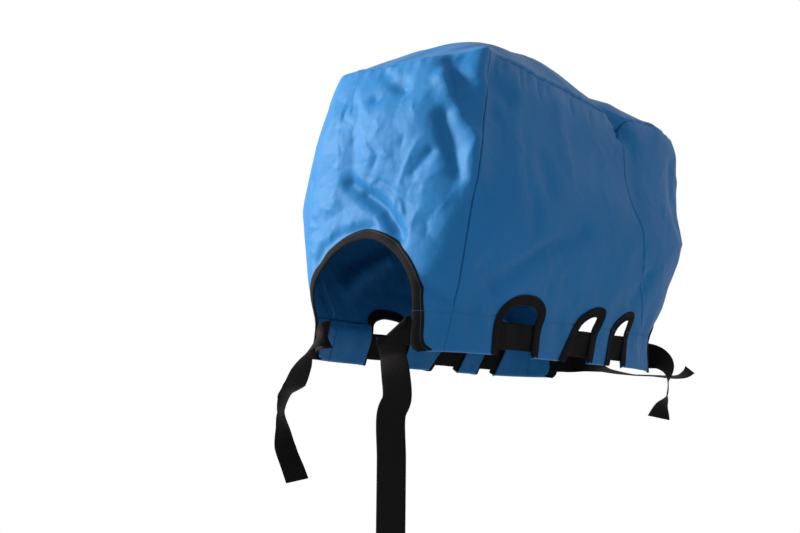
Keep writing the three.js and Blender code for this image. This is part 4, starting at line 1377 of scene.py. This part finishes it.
class COVER_OT_stage(CoverPiece, bpy.types.Operator):
    """Camera, floor and soft studio light"""

    bl_idname = "cover.stage"
    bl_label = "Studio"

    def execute(self, context):
        scene = context.scene
        camera_data = bpy.data.cameras.new("camera")
        camera_data.lens = CAMERA_LENS
        camera_data.sensor_width = CAMERA_SENSOR
        camera = bpy.data.objects.new("camera", camera_data)
        camera.location = CAMERA_PLACE
        camera.rotation_euler = [math.radians(turn) for turn in CAMERA_TURN]
        scene.collection.objects.link(camera)
        scene.camera = camera

        bm = bmesh.new()
        bmesh.ops.create_circle(bm, cap_ends=True, segments=96, radius=FLOOR_RADIUS)
        bmesh.ops.translate(bm, verts=bm.verts, vec=(0, 0, settings().floor_height))
        mesh = bpy.data.meshes.new("floor")
        bm.to_mesh(mesh)
        bm.free()
        pale = Finish("studio_floor", Roughness=0.9)
        spots = pale.noise(pale.add("ShaderNodeTexCoord")["Object"], 3.0)
        darker, paler = ((grey, grey, grey) for grey in FLOOR_GREYS)
        pale.set(Base_Color=pale.colour_between(darker, paler, spots))
        floor = new_piece("floor", mesh, pale.material)

        world = bpy.data.worlds.new("studio")
        world.use_nodes = True
        background = world.node_tree.nodes["Background"]
        background.inputs["Color"].default_value = (1, 1, 1, 1)
        background.inputs["Strength"].default_value = 1.0
        scene.world = world
        scene.view_settings.view_transform = "Standard"
        for name, (place, share, size) in LAMPS.items():
            lamp = bpy.data.lights.new(name, "AREA")
            lamp.shape = "DISK"
            lamp.size = size
            lamp.energy = settings().key_power * share
            lamp.color = LAMP_COLOUR
            holder = bpy.data.objects.new(name, lamp)
            holder.location = place
            aim = Vector(LAMP_AIM) - Vector(place)
            holder.rotation_euler = aim.to_track_quat("-Z", "Y").to_euler()
            scene.collection.objects.link(holder)
        return {"FINISHED"}


class COVER_OT_wall_panels(CoverPiece, bpy.types.Operator):
    """The four wall panels, with their folds, hem and openings"""

    bl_idname = "cover.wall_panels"
    bl_label = "Wall panels"

    def execute(self, context):
        openings = cover_openings()
        for name, (width, length, area) in PANEL_CUTS.items():
            points, weave = panel_points(name, settings().crease_depth)
            mesh = sheet_mesh(name + "_cloth", points, weave)
            face_out(mesh, lambda at: (at - Vector(WALL_MIDDLE)) * Vector((1, 1, 0)))
            for opened in openings.values():
                if opened["panel"] == name:
                    cut_opening(mesh, opened, CLOTH_IN_TAPE)
            piece = new_piece(name + "_cloth", mesh, material_for("cloth"))
            thicken(piece, CLOTH)
            self.finish_sheet(piece, "cloth", name, (width, length), "draped", area)
        return {"FINISHED"}


class COVER_OT_top_panel(CoverPiece, bpy.types.Operator):
    """The top panel over the crown"""

    bl_idname = "cover.top_panel"
    bl_label = "Top panel"

    def execute(self, context):
        points, weave = top_panel_points(settings().crease_depth)
        mesh = sheet_mesh("top_panel_cloth", points, weave)
        bm = bmesh.new()
        bm.from_mesh(mesh)
        bmesh.ops.remove_doubles(bm, verts=bm.verts, dist=MERGE)
        bm.to_mesh(mesh)
        bm.free()
        face_out(mesh, lambda at: Vector((0, 0, 1)))
        piece = new_piece("top_panel_cloth", mesh, material_for("cloth"))
        thicken(piece, CLOTH)
        width, length, area = TOP_CUT
        self.finish_sheet(piece, "cloth", "top_panel", (width, length), "draped", area)
        return {"FINISHED"}


class COVER_OT_bindings(CoverPiece, bpy.types.Operator):
    """Binding tape folded over the edges of the arches and notches"""

    bl_idname = "cover.bindings"
    bl_label = "Bindings"

    def execute(self, context):
        skins = wall_skins(settings().crease_depth)
        for name, opened in cover_openings().items():
            mesh, length = binding_mesh(name + "_tape", opened, skins[opened["panel"]])
            out = -opened["through"]
            face_out(mesh, lambda at: out)
            piece = new_piece(name + "_tape", mesh, material_for("tape"))
            thicken(piece, TAPE_SHEET)
            self.finish_sheet(piece, "tape", name, (TAPE_FLAT, round(length * MM, 3)), "folded")
        return {"FINISHED"}


def stitch_mesh(name, stitches, length):
    """Stitches as short rounded threads: each has a place, a heading and an outward side."""
    whole = bmesh.new()
    mesh = bpy.data.meshes.new(name)
    for first in range(0, len(stitches), STITCH_BATCH):
        bm = bmesh.new()
        for place, along, out in stitches[first:first + STITCH_BATCH]:
            along = Vector(along).normalized()
            across = Vector(out).cross(along).normalized()
            turn = Matrix((along, across, along.cross(across))).transposed().to_4x4()
            size = Matrix.Diagonal((length / 2, THREAD_WIDTH * MM / 2, THREAD_WIDTH * MM / 2, 1))
            bmesh.ops.create_uvsphere(bm, u_segments=6, v_segments=5, radius=1,
                                      matrix=Matrix.Translation(Vector(place) * MM) @ turn @ size)
        bm.to_mesh(mesh)
        whole.from_mesh(mesh)
        bm.free()
    whole.to_mesh(mesh)
    whole.free()
    return mesh


def hem_stitches(pitch):
    """The line of stitches along the top of the hem, over the cloth and the tapes."""
    around = 2 * half_round(1.0)
    rounds = np.arange(0, around, pitch)
    found = cloth_points([rounds], [1.0], THREAD_SINK, settings().crease_depth)
    places, normals = (rows[0] for rows in found)
    keep = np.ones(len(rounds), bool)
    for opened in cover_openings().values():
        near_side = normals @ np.array(opened["through"]) < -0.5
        distance = outline_distance(opened["outline"](0), *opened["flat"](places))[0]
        keep &= ~(near_side & (distance < -TAPE_WIDTH + 1))
        over_tape = near_side & (distance < 1.5)
        places = places + normals * (THREAD_OVER_TAPE * over_tape)[:, None]
    along = np.gradient(places, axis=0)
    return [stitch for stitch, kept in zip(zip(places, along, normals), keep) if kept]


class COVER_OT_stitching(CoverPiece, bpy.types.Operator):
    """Sewing thread along the hem and the bindings"""

    bl_idname = "cover.stitching"
    bl_label = "Stitching"

    def execute(self, context):
        length = settings().stitch_length
        pitch = length / MM + STITCH_GAP
        inset, above = THREAD_ON_TAPE
        skins = wall_skins(settings().crease_depth)
        bound = []
        for opened in cover_openings().values():
            places, normals = edge_frames(opened, skins[opened["panel"]], pitch, (inset,))
            rows = places[:, 0] + normals[:, 0] * above
            bound += list(zip(rows, np.gradient(rows, axis=0), normals[:, 0]))
        for name, stitches, colour in (("hem_stitching", hem_stitches(pitch), HEM_THREAD),
                                       ("binding_stitching", bound, TAPE_THREAD)):
            mesh = stitch_mesh(name, stitches, length)
            piece = new_piece(name, mesh, thread_finish(name + "_thread", colour))
            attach(piece, "root")
        return {"FINISHED"}


class COVER_OT_belts(CoverPiece, bpy.types.Operator):
    """The two webbing belts in the casing, with their free ends"""

    bl_idname = "cover.belts"
    bl_label = "Belts"

    def execute(self, context):
        belts = (("starboard_belt", 1, STARBOARD_AFT_END, STARBOARD_FORE_END, True),
                 ("port_belt", -1, PORT_AFT_END, PORT_FORE_END, False))
        for name, side, aft_end, fore_end, folded in belts:
            rows = belt_rows(side, aft_end, fore_end, folded)
            mesh = belt_mesh(name + "_webbing", rows)
            piece = new_piece(name + "_webbing", mesh, material_for("webbing"))
            self.finish_sheet(piece, "webbing", name, (WEB_WIDTH * MM, WEB_LENGTH), "hung")
        return {"FINISHED"}


class COVER_PT_panel(bpy.types.Panel):
    """The cover's settings and pieces"""

    bl_label = "Motor cover"
    bl_space_type = "VIEW_3D"
    bl_region_type = "UI"
    bl_category = "Cover"

    def draw(self, context):
        for name in CoverSettings.__annotations__:
            self.layout.prop(context.scene.cover_settings, name)
        for operator in OPERATORS:
            self.layout.operator(operator.bl_idname)


OPERATORS = (COVER_OT_stage, COVER_OT_belts, COVER_OT_wall_panels, COVER_OT_top_panel, COVER_OT_bindings,
             COVER_OT_stitching)
CLASSES = (CoverSettings, *OPERATORS, COVER_PT_panel)


def register():
    for item in CLASSES:
        bpy.utils.register_class(item)
    bpy.types.Scene.cover_settings = PointerProperty(type=CoverSettings)


def unregister():
    del bpy.types.Scene.cover_settings
    for item in reversed(CLASSES):
        bpy.utils.unregister_class(item)


def main():
    register()
    for operator in OPERATORS:
        group, name = operator.bl_idname.split(".")
        getattr(getattr(bpy.ops, group), name)()


if __name__ == "__main__":
    main()
